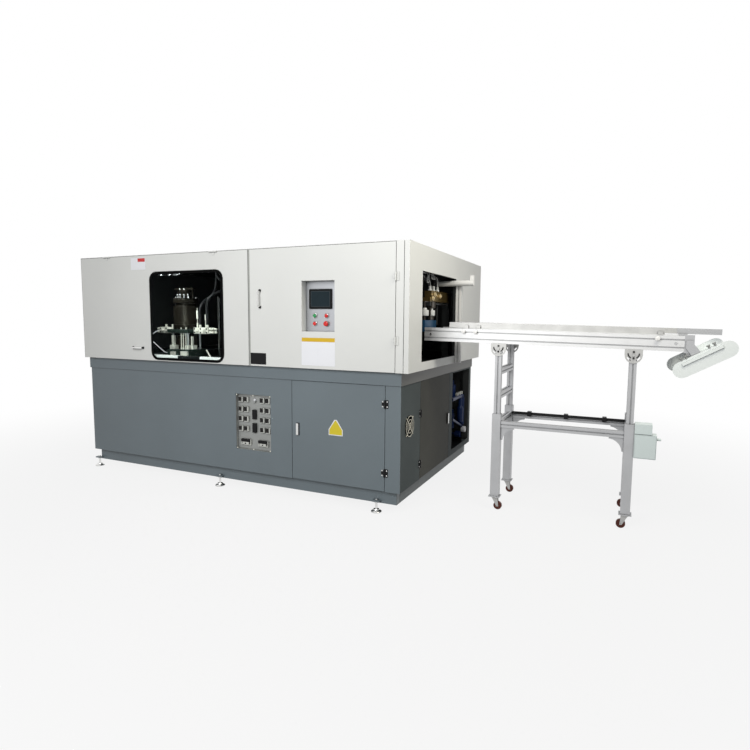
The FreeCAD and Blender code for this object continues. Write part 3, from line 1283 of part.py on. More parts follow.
def lower_legs():
    """Square tubes that the uprights slide into, each closed by its flared cap and castor socket."""
    shapes = []
    for x, y in LEGS:
        half, cap = LEG_LOWER / 2, LEG_CAP / 2
        tube = slab("XY", LEG_FOOT, LEG_LOWER_TOP - LEG_FOOT, x - half, x + half, y - half, y + half,
                    0.0, ((x - LEG_HOLE, x + LEG_HOLE, y - LEG_HOLE, y + LEG_HOLE),))
        plate = box(x - cap, x + cap, y - cap, y + cap, LEG_FOOT, LEG_FOOT + LEG_CAP_T)
        plug = box(x - LEG_HOLE, x + LEG_HOLE, y - LEG_HOLE, y + LEG_HOLE, LEG_FOOT, LEG_FOOT + LEG_LOWER)
        socket = bored((x, y, LEG_FOOT), (x, y, LEG_FOOT + SWIVEL_PIN + LEAF), SWIVEL_R + RUNNING_FIT)
        shapes.append(fused((tube, plate, plug)).cut(socket))
    return shapes


def cross_bars():
    """Slotted bars between the lower legs, along and across, and more across the upper legs."""
    shapes = []
    half = LEG_LOWER / 2
    for y in (RAIL_FRONT_Y, RAIL_BACK_Y):
        shapes.append(slotted("YZ", LEG_X[0] + half, LEG_X[1] - LEG_X[0] - 2 * half, y, BAR_Z, BAR, BAR, 1, 1))
    span = RAIL_BACK_Y - RAIL_FRONT_Y
    for x in LEG_X:
        shapes.append(slotted("XZ", RAIL_FRONT_Y + half, span - 2 * half, x, BAR_Z, BAR, BAR, 1, 1))
        for z in UPPER_BAR_Z:
            shapes.append(slotted("XZ", RAIL_FRONT_Y + LEG_UPPER / 2, span - LEG_UPPER, x, z, BAR, BAR, 1, 1))
    return shapes


def gussets():
    """Cast corner braces with a hollowed edge, under the long bars."""
    shapes = []
    z = BAR_Z - BAR / 2
    for y in (RAIL_FRONT_Y, RAIL_BACK_Y):
        near = y - GUSSET_T / 2
        for x, way in ((LEG_X[0] + LEG_LOWER / 2, 1), (LEG_X[1] - LEG_LOWER / 2, -1)):
            corner = Vector(x, near, z)
            a, b = corner - Z * GUSSET, corner + X * (way * GUSSET)
            toe_a, toe_b = a + X * (way * GUSSET_TOE), b - Z * GUSSET_TOE
            hollow = (toe_a + toe_b) * 0.5 + (corner - (toe_a + toe_b) * 0.5) * 0.3
            wire = Part.Wire([Part.makeLine(corner, a), Part.makeLine(a, toe_a),
                              Part.Arc(toe_a, hollow, toe_b).toShape(),
                              Part.makeLine(toe_b, b), Part.makeLine(b, corner)])
            shapes.append(Part.Face(wire).extrude(Y * GUSSET_T))
    return shapes


def tie_tube():
    """Black tube in front of the far long bar, in its clamps."""
    z = BAR_Z + BAR / 2
    y = RAIL_BACK_Y - BAR / 2 - TIE_CLAMP[1] / 2
    half = LEG_LOWER / 2
    x0, x1 = LEG_X[0] + half, LEG_X[1] - half
    pieces = [prism((x0, y, z), (x1, y, z), TIE_TUBE_R, 8)]
    for index in range(TIE_TUBE_CLAMPS):
        x = x0 + (x1 - x0) * (index + 0.5) / TIE_TUBE_CLAMPS
        pieces.append(box(x - TIE_CLAMP[0] / 2, x + TIE_CLAMP[0] / 2, y - TIE_CLAMP[1] / 2, y + TIE_CLAMP[1] / 2,
                          z - TIE_TUBE_R * 1.6, z + TIE_TUBE_R * 1.6))
    return fused(pieces)


def castor(x, y, way):
    """Swivel castor trailing along way, as (fork with its swivel pin and axle, wheel)."""
    top = LEG_FOOT - SEAT
    axle_x, axle_z = x + way * TRAIL, WHEEL_R
    inner = WHEEL_W / 2 + HUB_GAP
    low = top - HEAD_DISC_H
    head = prism((x, y, low), (x, y, top), HEAD_DISC_R)
    pin = prism((x, y, top), (x, y, top + SWIVEL_PIN), SWIVEL_R, 8)
    cheeks = []
    for side in (-1, 1):
        outline = [(axle_x - way * FORK_W / 2, axle_z - FORK_W / 2), (axle_x + way * FORK_W / 2, axle_z - FORK_W / 2),
                   (x + way * HEAD_DISC_R, low), (x + way * HEAD_DISC_R, low + FORK_T),
                   (x - way * FORK_W, low + FORK_T), (x - way * FORK_W, low - FORK_T)]
        cheeks.append(profile("XZ", y + side * inner, side * FORK_T, outline))
    reach = inner + FORK_T + AXLE_END
    axle = prism((axle_x, y - reach, axle_z), (axle_x, y + reach, axle_z), AXLE_R, 8)
    wheel = rod((axle_x, y - WHEEL_W / 2, axle_z), (axle_x, y + WHEEL_W / 2, axle_z), WHEEL_R)
    bore = bored((axle_x, y - WHEEL_W / 2, axle_z), (axle_x, y + WHEEL_W / 2, axle_z), AXLE_R + RUNNING_FIT)
    return fused([head, pin, axle] + cheeks), wheel.cut(bore)


def control_box():
    """Stepped speed-control housing on the outer leg, with its lid and side lever."""
    x0 = LEG_X[1] + LEG_LOWER / 2
    y0, y1 = RAIL_FRONT_Y - CONTROL_D / 2, RAIL_FRONT_Y + CONTROL_D / 2
    near, far, low, high = CONTROL_BOX
    body = box(x0, x0 + far, y0, y1, low, high)
    upper = box(x0, x0 + CONTROL_TOP[1], y0, y1, high + near, CONTROL_TOP[2])
    neck = box(x0, x0 + CONTROL_TOP[1] - near, y0 + near, y1 - near, high, high + near)
    lid = slab("XZ", y0 - CONTROL_LID, CONTROL_LID, x0 + near, x0 + far - near, low + near, high - near)
    reach, radius = CONTROL_LEVER
    lever = prism((x0 + far, y0 + CONTROL_D / 4, high - reach), (x0 + far + reach, y0 + CONTROL_D / 4, high - reach),
                  radius, 8)
    return fused((body, upper, neck, lid, lever))


# ---------------------------------------------------------------- end deck
CHEEK_FRONT = RAIL_FRONT_Y - RAIL_W / 2 - ARM_T - DECK_CHEEK_GAP
CHEEK_BACK = RAIL_BACK_Y + RAIL_W / 2 + ARM_T + DECK_CHEEK_GAP


def end_deck():
    """Tilting end tray: two long round-ended cheeks, floor sheet, cross rod, edge bar and pivot."""
    cx, cz = DECK_CENTRE
    half_l, half = DECK_LENGTH / 2, DECK_HIGH / 2
    shapes = [slab("XZ", y, out * DECK_T, cx - half_l, cx + half_l, cz - half, cz + half, half - END_SLIVER)
              for y, out in ((CHEEK_FRONT, -1), (CHEEK_BACK, 1))]
    floor_start = cx - half_l + DECK_FLOOR_IN
    shapes.append(box(floor_start + DECK_ROD_R, cx + half_l - half, CHEEK_FRONT, CHEEK_BACK, cz - SHEET, cz))
    shapes.append(prism((cx + half_l - half, CHEEK_FRONT, cz), (cx + half_l - half, CHEEK_BACK, cz), DECK_ROD_R, 8))
    length, high, thick = DECK_BAR
    face = CHEEK_FRONT - DECK_T
    shapes.append(box(cx - length / 2, cx + length / 2, face - thick, face, cz + half - 2 * high, cz + half - high))
    deck = fused(shapes)
    deck.rotate(Vector(cx, 0, cz), Y, -DECK_TILT)
    x, z = PIVOT
    shaft = prism((x, CHEEK_FRONT, z), (x, CHEEK_BACK, z), PIVOT_R)
    return fused((deck, shaft))


# ---------------------------------------------------------------- write the sub-parts
guard_pairs = [top_hinge(-x) for x in GUARD_HINGES_X]
door_pairs = [upright_hinge(-CORNER_POST - DOOR_GAP / 2, -HINGE_OUT, z, X * -1, X, Y * -1) for z in CAB_HINGES_Z]
power_pairs = [upright_hinge(DOOR_GAP / 2 - POWER_RIGHT, PANEL_FRONT - HINGE_OUT, z, X * -1, X, Y * -1)
               for z in BASE_HINGES_Z]
side_pairs = [upright_hinge(PANEL_RIGHT + HINGE_OUT, SIDE_DOOR_FRONT - DOOR_GAP / 2, z, Y, Y * -1, X)
              for z in SIDE_HINGES_Z]

node("cabinet_frame", *cabinet_frame(), *[fixed for moving, fixed in guard_pairs + door_pairs])
node("cabinet_panels", *cabinet_panels())
node("cabinet_right", cabinet_right())
guard_handle = pull("XY", GUARD_HANDLE_Z, -GUARD_HANDLE_X, GUARD_HANDLE_SPAN, lambda along, out: (along, -out))
node("guard_door", guard(), guard_handle, *[moving for moving, fixed in guard_pairs])
node("guard_seal", guard_seal())
node("guard_window", guard_pane())
door_handle = pull("YZ", -DOOR_HANDLE_X, DOOR_HANDLE_Z, DOOR_HANDLE_SPAN, lambda along, out: (-out, along))
node("right_door", right_door(), door_handle, *[moving for moving, fixed in door_pairs])
node("operator_plate", operator_plate())
node("touch_screen", touch_screen())
for name, (bx, bz) in CONTROLS.items():
    stop = name == "emergency_stop"
    node(name, button(bx, bz, MUSHROOM_R if stop else HEAD_R, MUSHROOM_H if stop else HEAD_H))

node("base_frame", *base_frame())
node("levelling_feet", *levelling_feet())
node("base_table", base_table())
node("base_front", *base_front())
node("base_right", *base_right())
node("base_back", *base_back())
fan_housing, fan_rotor = fan()
node("base_fittings", fan_housing, *[fixed for moving, fixed in power_pairs + side_pairs])
plate, paddle = latch(-POWER_LATCH[0], PANEL_FRONT, POWER_LATCH[1], Y * -1)
node("power_door", power_door())
node("power_door_fittings", plate, *[moving for moving, fixed in power_pairs])
node("power_latch", paddle)
plate, paddle = latch(PANEL_RIGHT, SIDE_LATCH[0], SIDE_LATCH[1], X)
node("side_door", side_door())
node("side_door_fittings", plate, *[moving for moving, fixed in side_pairs])
node("side_latch", paddle)
tank, saddles = air_tank()
node("inner_brackets", power_box(), air_bracket(), *saddles)
node("power_units", *power_units())
node("socket_panel", socket_panel())
node("sockets", *sockets())
node("fan_guard", fan_guard())
node("fan_rotor", fan_rotor)
node("air_system", tank, *air_system())

node("oven", oven())
node("blow_cylinder", centred_plate(ST_BASE, BASE_TOP), *blow_cylinder())
node("ground_shafts", take_out_slide(), *ties())
node("mould_left", mould_half(-1))
node("mould_right", mould_half(1))
node("stretch_carriage", stretch_carriage())
node("take_out_stand", take_out_stand())
node("take_out_carriage", take_out_carriage())
node("sensor_post", *sensor_post())

node("conveyor_rails", *conveyor_rails())
node("conveyor_belt", conveyor_belt())
node("roller_inner", conveyor_roller(ROLLERS_X[0]))
node("roller_outer", conveyor_roller(ROLLERS_X[1]))
node("conveyor_fittings", *conveyor_guides(), *pivot_brackets(), *bearing_blocks())
node("stand_frame", *upper_legs(), *cross_bars(), *gussets())
node("lower_legs", *lower_legs())
node("tie_tube", tie_tube())
for index, (lx, ly) in enumerate(LEGS):
    fork, wheel = castor(lx, ly, 1 if lx == LEG_X[0] else -1)
    node("castor_%d_fork" % (index + 1), fork)
    node("castor_%d_wheel" % (index + 1), wheel)
node("control_box", control_box())
node("end_deck", end_deck())
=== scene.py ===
"""Looks of a blow moulding machine with its outfeed conveyor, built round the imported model.

Everything is in metres in the model's own frame: X right along the front, Y back, Z up, the origin
under the front right levelling foot.
"""

import json
import math

import bmesh
import bpy
from bpy.props import FloatProperty, FloatVectorProperty, PointerProperty
from mathutils import Matrix, Vector


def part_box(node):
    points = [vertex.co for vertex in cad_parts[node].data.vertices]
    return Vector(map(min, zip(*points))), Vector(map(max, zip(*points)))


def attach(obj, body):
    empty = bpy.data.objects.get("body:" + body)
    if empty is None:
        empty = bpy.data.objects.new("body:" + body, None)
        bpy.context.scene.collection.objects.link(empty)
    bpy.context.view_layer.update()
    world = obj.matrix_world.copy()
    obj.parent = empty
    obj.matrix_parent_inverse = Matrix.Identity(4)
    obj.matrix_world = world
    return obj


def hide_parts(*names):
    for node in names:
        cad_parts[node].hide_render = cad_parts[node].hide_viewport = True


bl_info = {
    "name": "Blow moulding machine looks",
    "version": (1, 0, 0),
    "blender": (4, 5, 0),
    "location": "View3D > Sidebar > Moulder",
    "description": "Finishes, trim, plates and studio for a blow moulding machine",
    "category": "Object",
}

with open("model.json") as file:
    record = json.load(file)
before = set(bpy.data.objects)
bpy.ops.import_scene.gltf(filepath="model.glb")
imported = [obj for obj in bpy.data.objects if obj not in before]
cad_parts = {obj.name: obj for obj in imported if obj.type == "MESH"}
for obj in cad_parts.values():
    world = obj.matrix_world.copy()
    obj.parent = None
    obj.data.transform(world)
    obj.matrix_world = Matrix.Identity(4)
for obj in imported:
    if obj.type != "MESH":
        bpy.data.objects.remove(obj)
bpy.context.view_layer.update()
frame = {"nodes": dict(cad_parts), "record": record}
RIGHT, FRONT, BACK, UP = (1, 0, 0), (0, -1, 0), (0, 1, 0), (0, 0, 1)


# ---------------------------------------------------------------- settings
def colour(name, value, text):
    return FloatVectorProperty(name=name, description=text, default=value, subtype="COLOR", min=0, max=1)


def length(name, value, text):
    return FloatProperty(name=name, description=text, default=value, unit="LENGTH", min=0)


def power(name, value, text):
    return FloatProperty(name=name, description=text, default=value, unit="POWER", min=0)


class MoulderColours(bpy.types.PropertyGroup):
    cabinet: colour("Cabinet", (0.66, 0.668, 0.648), "Paint of the cabinet")
    base: colour("Base", (0.135, 0.165, 0.182), "Paint of the base")
    plate: colour("Operator plate", (0.38, 0.39, 0.41), "Brushed plate of the operator panel")
    sign: colour("Sign", (0.62, 0.50, 0.02), "Yellow of the bare signs")
    air: colour("Air pipes", (0.008, 0.022, 0.085), "Paint of the air service pipes")
    tyre: colour("Castor tyre", (0.095, 0.030, 0.022), "Tread of the castors")


class MoulderSizes(bpy.types.PropertyGroup):
    screw: length("Screw head", 0.0042, "Radius of the hinge screws' heads")
    sheet: length("Sheet sign", 0.0008, "Thickness of the bare signs and sheets")
    ring: length("Button ring", 0.0185, "Radius of the chrome ring round a button")
    hose: length("Hose", 0.014, "Radius of the pipes at the blow station")


class MoulderStudio(bpy.types.PropertyGroup):
    key: power("Key lamp", 123.0, "Power of the large front lamp")
    fill: power("Fill lamp", 43.0, "Power of the right lamp")
    inside: power("Inside lamp", 7.0, "Power of the lamp over the blow station")
    sky: FloatProperty(name="Sky", description="Strength of the surrounding light", default=0.315, min=0)


# ---------------------------------------------------------------- shader groups
def feed(tree, sockets, sources):
    """Link or set the named sockets."""
    for socket, source in sources.items():
        if isinstance(source, bpy.types.NodeSocket):
            tree.links.new(source, sockets[socket])
        else:
            sockets[socket].default_value = source


def add(tree, kind, sources=None, **settings):
    """Shader node with its settings, and its sockets linked or set."""
    node = tree.nodes.new("ShaderNode" + kind)
    for key, value in settings.items():
        setattr(node, key, value)
    feed(tree, node.inputs, sources or {})
    return node


def maths(tree, operation, first, second, clamp=False):
    return add(tree, "Math", {0: first, 1: second}, operation=operation, use_clamp=clamp).outputs[0]


def ramp(tree, value, low, high, to_low=0.0, to_high=1.0, shape="LINEAR"):
    """The value moved from the scale low to high onto the scale to_low to to_high, and kept within it."""
    sources = {"Value": value, "From Min": low, "From Max": high, "To Min": to_low, "To Max": to_high}
    return add(tree, "MapRange", sources, interpolation_type=shape).outputs[0]


def noise(tree, point, scale, detail):
    return add(tree, "TexNoise", {"Vector": point, "Scale": scale, "Detail": detail}).outputs[0]


def mix(tree, factor, first, second, blend="MIX"):
    return add(tree, "Mix", {0: factor, 6: first, 7: second}, data_type="RGBA", blend_type=blend).outputs[2]


def mix_value(tree, factor, first, second):
    return add(tree, "Mix", {0: factor, 2: first, 3: second}, data_type="FLOAT").outputs[0]


def object_point(tree):
    return add(tree, "TexCoord").outputs["Object"]


def shader_group(name, inputs, outputs):
    tree = bpy.data.node_groups.new(name, "ShaderNodeTree")
    for title, kind, value in inputs:
        socket = tree.interface.new_socket(title, in_out="INPUT", socket_type="NodeSocket" + kind)
        socket.default_value = value
    for title, kind in outputs:
        tree.interface.new_socket(title, in_out="OUTPUT", socket_type="NodeSocket" + kind)
    return tree, tree.nodes.new("NodeGroupInput").outputs, tree.nodes.new("NodeGroupOutput").inputs


def group(tree, name, **sources):
    """Outputs of a shader group with its inputs linked or set."""
    return add(tree, "Group", sources, node_tree=bpy.data.node_groups[name]).outputs


def make_mottle():
    """Slow change of a coat's tone over a large sheet."""
    tree, given, out = shader_group(
        "Mottle", [("Color", "Color", (1, 1, 1, 1)), ("Scale", "Float", 2.0), ("Amount", "Float", 0.05)],
        [("Color", "Color")])
    cloud = noise(tree, object_point(tree), given["Scale"], 5.0)
    low, high = (maths(tree, operation, 1.0, given["Amount"]) for operation in ("SUBTRACT", "ADD"))
    tone = ramp(tree, cloud, 0.3, 0.7, low, high)
    grey = add(tree, "CombineColor", {0: tone, 1: tone, 2: tone}).outputs[0]
    feed(tree, out, {"Color": mix(tree, 1.0, given["Color"], grey, "MULTIPLY")})


def make_grain():
    """Fine relief and gloss change: stretched into brush lines, or even as orange peel."""
    tree, given, out = shader_group(
        "Grain", [("Stretch", "Vector", (1, 1, 1)), ("Scale", "Float", 300.0), ("Relief", "Float", 0.1),
                  ("Roughness", "Float", 0.4), ("Spread", "Float", 0.1)],
        [("Roughness", "Float"), ("Normal", "Vector")])
    place = add(tree, "Mapping", {"Vector": object_point(tree), "Scale": given["Stretch"]}).outputs[0]
    lines = noise(tree, place, given["Scale"], 3.0)
    swing = maths(tree, "MULTIPLY", maths(tree, "SUBTRACT", lines, 0.5), given["Spread"])
    relief = add(tree, "Bump", {"Strength": given["Relief"], "Distance": 0.0004, "Height": lines}).outputs[0]
    feed(tree, out, {"Roughness": maths(tree, "ADD", given["Roughness"], swing, True), "Normal": relief})


def make_edges():
    """Mask of worn corners, broken up by a noise."""
    tree, given, out = shader_group(
        "Edges", [("Width", "Float", 0.003), ("Amount", "Float", 0.5)], [("Mask", "Float")])
    soft = add(tree, "Bevel", {"Radius": given["Width"]}, samples=4).outputs[0]
    flat = add(tree, "NewGeometry").outputs["Normal"]
    cosine = add(tree, "VectorMath", {0: soft, 1: flat}, operation="DOT_PRODUCT").outputs["Value"]
    patches = ramp(tree, noise(tree, object_point(tree), 18.0, 4.0), 0.42, 0.62)
    both = maths(tree, "MULTIPLY", ramp(tree, cosine, 0.99, 0.8), patches)
    feed(tree, out, {"Mask": maths(tree, "MULTIPLY", both, given["Amount"], True)})


def make_crevices():
    """Mask of slots, slits and inner corners, where painted shade is laid."""
    tree, given, out = shader_group(
        "Crevices", [("Reach", "Float", 0.02), ("Amount", "Float", 0.6)], [("Mask", "Float")])
    open_sky = add(tree, "AmbientOcclusion", {"Distance": given["Reach"]}, samples=6).outputs["AO"]
    shut = ramp(tree, open_sky, 0.85, 0.25)
    feed(tree, out, {"Mask": maths(tree, "MULTIPLY", shut, given["Amount"], True)})


def make_region():
    """Mask of the points inside a box of the model's frame."""
    tree, given, out = shader_group(
        "Region", [("Low", "Vector", (0, 0, 0)), ("High", "Vector", (1, 1, 1))], [("Mask", "Float")])
    point, low, high = (add(tree, "SeparateXYZ", {0: source}).outputs
                        for source in (object_point(tree), given["Low"], given["High"]))
    mask = 1.0
    for axis in range(3):
        for corner, operation in ((low, "GREATER_THAN"), (high, "LESS_THAN")):
            mask = maths(tree, "MULTIPLY", maths(tree, operation, point[axis], corner[axis]), mask)
    feed(tree, out, {"Mask": mask})


# ---------------------------------------------------------------- materials
FAR = 9.0
SKIN = 0.0022            # the outer part of a sheet that keeps the outer coat; inward of it the sheet gets painted shade
DEEP = 0.13              # darker coats than this are less glossy
DEEP_GLOSS = 0.12
MATT = {"base_side": 0.03, "door_side": 0.03, "seal_rubber": 0.03}
EVEN = (1.0, 1.0, 1.0)
ALONG_X, ALONG_Y, ALONG_Z = (0.02, 1.0, 1.0), (1.0, 0.02, 1.0), (1.0, 1.0, 0.02)
FINE_GRAIN = 400.0       # coats with a finer grain than this have the broad mottle
BROAD, NARROW = 1.6, 9.0
WORN_GAIN, WORN_LIFT = 2.2, 0.05
# colour of the painted shade that the Crevices mask lays in slots and corners
SHADE = (0.02, 0.021, 0.022, 1)

NODE_FINISH = {
    "stand_frame": "leg_aluminium", "lower_legs": "leg_aluminium", "end_deck": "deck_white",
    # the base's right sheet and side door take painted shade and shadow, and the stretch carriage a dark
    # bronze as painted shade
    "base_right": "base_side", "side_door": "door_side", "stretch_carriage": "station_bronze",
    # the inner frame, brackets and table take near-black painted shade
    "cabinet_frame": "inner_dark", "inner_brackets": "inner_dark", "base_table": "inner_dark",
    "sensor_post": "arm_white", "mould_left": "station_steel", "mould_right": "station_steel",
}

# slot: colour (or the setting's name), roughness, metallic, brush, grain scale, relief, mottle, wear
FINISHES = {
    "cabinet_paint": ("cabinet", 0.42, 0.0, EVEN, 420.0, 0.05, 0.025, 0.0),
    "base_paint": ("base", 0.40, 0.0, EVEN, 420.0, 0.07, 0.06, 0.25),
    "machine_plate": ((0.50, 0.51, 0.52), 0.30, 1.0, ALONG_X, 260.0, 0.10, 0.08, 0.0),
    "station_steel": ((0.085, 0.075, 0.062), 0.30, 0.8, ALONG_Z, 260.0, 0.12, 0.15, 0.4),
    "seal_rubber": ((0.003, 0.003, 0.003), 0.70, 0.0, EVEN, 900.0, 0.15, 0.05, 0.0),
    "operator_panel": ("plate", 0.38, 0.85, ALONG_X, 420.0, 0.10, 0.04, 0.0),
    "screen_housing": ((0.003, 0.0035, 0.004), 0.55, 0.0, EVEN, 900.0, 0.05, 0.03, 0.0),
    "green_button": ((0.01, 0.26, 0.07), 0.18, 0.0, EVEN, 300.0, 0.01, 0.02, 0.0),
    "red_button": ((0.62, 0.015, 0.012), 0.18, 0.0, EVEN, 300.0, 0.01, 0.02, 0.0),
    "black_fittings": ((0.012, 0.012, 0.013), 0.42, 0.0, EVEN, 700.0, 0.10, 0.05, 0.3),
    "socket_grey": ((0.30, 0.31, 0.30), 0.42, 0.3, ALONG_X, 420.0, 0.08, 0.08, 0.0),
    "socket_plastic": ((0.50, 0.51, 0.48), 0.40, 0.0, EVEN, 700.0, 0.05, 0.04, 0.0),
    "fan_wire": ((0.84, 0.80, 0.66), 0.20, 0.5, EVEN, 300.0, 0.02, 0.04, 0.0),
    "latch_chrome": ((0.72, 0.72, 0.71), 0.20, 1.0, EVEN, 300.0, 0.02, 0.04, 0.0),
    "fan_plastic": ((0.012, 0.012, 0.012), 0.45, 0.0, EVEN, 700.0, 0.05, 0.03, 0.0),
    "air_blue": ("air", 0.30, 0.0, EVEN, 300.0, 0.08, 0.10, 0.3),
    "unit_gold": ((0.24, 0.165, 0.06), 0.30, 0.8, ALONG_Y, 260.0, 0.08, 0.12, 0.3),
    "unit_white": ((0.66, 0.67, 0.66), 0.38, 0.0, EVEN, 420.0, 0.05, 0.05, 0.0),
    "section_aluminium": ((0.66, 0.665, 0.67), 0.44, 0.5, ALONG_X, 300.0, 0.05, 0.04, 0.0),
    "leg_aluminium": ((0.44, 0.445, 0.455), 0.40, 0.7, ALONG_Z, 300.0, 0.05, 0.05, 0.0),
    "deck_white": ((0.82, 0.865, 0.86), 0.40, 0.0, EVEN, 420.0, 0.05, 0.03, 0.0),
    # The next two are darker copies of the base paint: painted shade on the base's right side, and a darker
    # painted shadow on its side door under the conveyor.
    "base_side": ((0.078, 0.092, 0.094), 0.50, 0.0, EVEN, 420.0, 0.07, 0.16, 0.3),
    "door_side": ((0.058, 0.058, 0.050), 0.45, 0.0, EVEN, 420.0, 0.07, 0.20, 0.3),
    "conveyor_zinc": ((0.47, 0.47, 0.46), 0.42, 0.6, EVEN, 160.0, 0.06, 0.10, 0.0),
    "belt_grey": ((0.52, 0.54, 0.52), 0.62, 0.0, EVEN, 1200.0, 0.30, 0.05, 0.0),
    "roller_steel": ((0.58, 0.58, 0.58), 0.22, 1.0, ALONG_Y, 300.0, 0.05, 0.05, 0.0),
    "black_tube": ((0.018, 0.018, 0.019), 0.35, 0.0, EVEN, 700.0, 0.06, 0.04, 0.0),
    "wheel_rubber": ("tyre", 0.45, 0.0, EVEN, 500.0, 0.10, 0.10, 0.0),
    "control_plastic": ((0.66, 0.74, 0.735), 0.40, 0.0, EVEN, 700.0, 0.05, 0.02, 0.0),
    "bright_steel": ((0.72, 0.72, 0.71), 0.20, 1.0, EVEN, 300.0, 0.02, 0.04, 0.0),
    "sign_yellow": ("sign", 0.60, 0.0, EVEN, 600.0, 0.02, 0.02, 0.0),
    "sheet_white": ((0.76, 0.77, 0.80), 0.50, 0.0, EVEN, 600.0, 0.03, 0.015, 0.0),
    "sign_red": ((0.50, 0.02, 0.02), 0.45, 0.0, EVEN, 600.0, 0.02, 0.02, 0.0),
    # near-black painted shade for the machine's dark inside: inner sides of sheets, inner frame, table,
    # brackets, bay and the column under the beam
    "inner_dark": ((0.007, 0.009, 0.009), 0.60, 0.0, EVEN, 420.0, 0.05, 0.08, 0.0),
    "station_green": ((0.030, 0.045, 0.038), 0.35, 0.3, EVEN, 420.0, 0.08, 0.15, 0.3),
    "station_bronze": ((0.015, 0.013, 0.0095), 0.30, 0.5, ALONG_Z, 260.0, 0.10, 0.30, 0.2),
    "valve_silver": ((0.74, 0.73, 0.64), 0.30, 0.15, EVEN, 300.0, 0.05, 0.12, 0.0),
    "brass_bright": ((0.86, 0.70, 0.42), 0.22, 0.6, EVEN, 300.0, 0.03, 0.10, 0.0),
    "grip_blue": ((0.012, 0.055, 0.120), 0.30, 0.0, EVEN, 300.0, 0.08, 0.10, 0.3),
    "arm_white": ((0.80, 0.80, 0.79), 0.40, 0.0, EVEN, 420.0, 0.05, 0.02, 0.0),
    # grey of the painted seam shade down the operator door's edge
    "seam_grey": ((0.30, 0.31, 0.29), 0.60, 0.0, EVEN, 600.0, 0.05, 0.04, 0.0),
    "band_gold": ((0.60, 0.38, 0.010), 0.60, 0.0, EVEN, 600.0, 0.02, 0.02, 0.0),
    "screen_frame": ((0.030, 0.040, 0.046), 0.40, 0.0, EVEN, 600.0, 0.02, 0.02, 0.0),
    "plate_black": ((0.010, 0.010, 0.011), 0.30, 0.0, EVEN, 600.0, 0.03, 0.03, 0.0),
}


def tint(tone):
    """Colour of a finish: written with it, or one of the settings."""
    return tuple(getattr(bpy.context.scene.moulder_colours, tone)) if isinstance(tone, str) else tone


def start_material(name):
    """New material with its node tree and its Principled BSDF."""
    material = bpy.data.materials.new(name)
    material.use_nodes = True
    tree = material.node_tree
    return material, tree, tree.nodes["Principled BSDF"]


def finish(name, patches=()):
    """Material of a finish; patches are (low, high, finish) of boxes whose points get another's colour."""
    title = "_".join(["finish", name] + [patch[2] + "%d" % (patch[0][2] * 1000) for patch in patches])
    if title in bpy.data.materials:
        return bpy.data.materials[title]
    tone, roughness, metallic, brush, scale, relief, mottle, wear = FINISHES[name]
    base = tint(tone)
    material, tree, shader = start_material(title)
    cloud = BROAD if scale > FINE_GRAIN else NARROW
    skin = group(tree, "Mottle", Color=(*base, 1), Scale=cloud, Amount=mottle)["Color"]
    if wear > 0.0:
        worn = group(tree, "Edges", Width=0.0025, Amount=wear)["Mask"]
        skin = mix(tree, worn, skin, (*(min(1.0, part * WORN_GAIN + WORN_LIFT) for part in base), 1))
    surface = group(tree, "Grain", Stretch=brush, Scale=scale, Relief=relief, Roughness=roughness,
                    Spread=0.12)
    gloss, metal = surface["Roughness"], metallic
    for low, high, other in patches:
        mask = group(tree, "Region", Low=low, High=high)["Mask"]
        other_tone, other_roughness, other_metallic = FINISHES[other][:3]
        skin = mix(tree, mask, skin, (*tint(other_tone), 1))
        gloss = mix_value(tree, mask, gloss, other_roughness)
        if other_metallic != metallic:
            metal = mix_value(tree, mask, metal, other_metallic)
    # painted shade in slots and inner corners, from ambient occlusion
    shade = group(tree, "Crevices", Reach=0.014, Amount=0.75)["Mask"]
    feed(tree, shader.inputs, {"Base Color": mix(tree, shade, skin, SHADE), "Roughness": gloss,
                               "Normal": surface["Normal"], "Metallic": metal})
    if max(base) < DEEP:
        shader.inputs["Specular IOR Level"].default_value = MATT.get(name, DEEP_GLOSS)
    return material


def pane_material():
    """Clear guard pane that lets the lamps' light through."""
    material, tree, shader = start_material("window_pane_clear")
    smear = group(tree, "Grain", Stretch=EVEN, Scale=6.0, Relief=0.0, Roughness=0.02, Spread=0.03)
    clear = maths(tree, "SUBTRACT", 1.0, add(tree, "LightPath").outputs["Is Shadow Ray"])
    feed(tree, shader.inputs, {"Base Color": (0.80, 0.86, 0.85, 1), "Transmission Weight": 1.0, "IOR": 1.04,
                               "Roughness": smear["Roughness"], "Alpha": clear})
    return material


def screen_material():
    """Dark glass of the touch screen."""
    material, tree, shader = start_material("screen_glass")
    tinted = group(tree, "Mottle", Color=(0.010, 0.020, 0.026, 1), Scale=8.0, Amount=0.15)
    feed(tree, shader.inputs, {"Base Color": tinted["Color"], "Roughness": 0.12, "Specular IOR Level": 0.15})
    return material


# ---------------------------------------------------------------- modelling helpers
EDGE_ANGLE, LATHE_ANGLE, ROD_ANGLE = math.radians(30), math.radians(35), math.radians(50)
BEND_STEPS = 6


def deselect():
    if bpy.context.object and bpy.context.object.mode != "OBJECT":
        bpy.ops.object.mode_set(mode="OBJECT")
    bpy.ops.object.select_all(action="DESELECT")


def only(piece):
    deselect()
    piece.select_set(True)
    bpy.context.view_layer.objects.active = piece


def started(name):
    """The primitive just added, under its name."""
    piece = bpy.context.object
    piece.name = name
    piece.data.name = name
    return piece


def seat(piece):
    """Put the piece's place, turn and size in its mesh."""
    only(piece)
    bpy.ops.object.transform_apply(location=True, rotation=True, scale=True)
    return piece


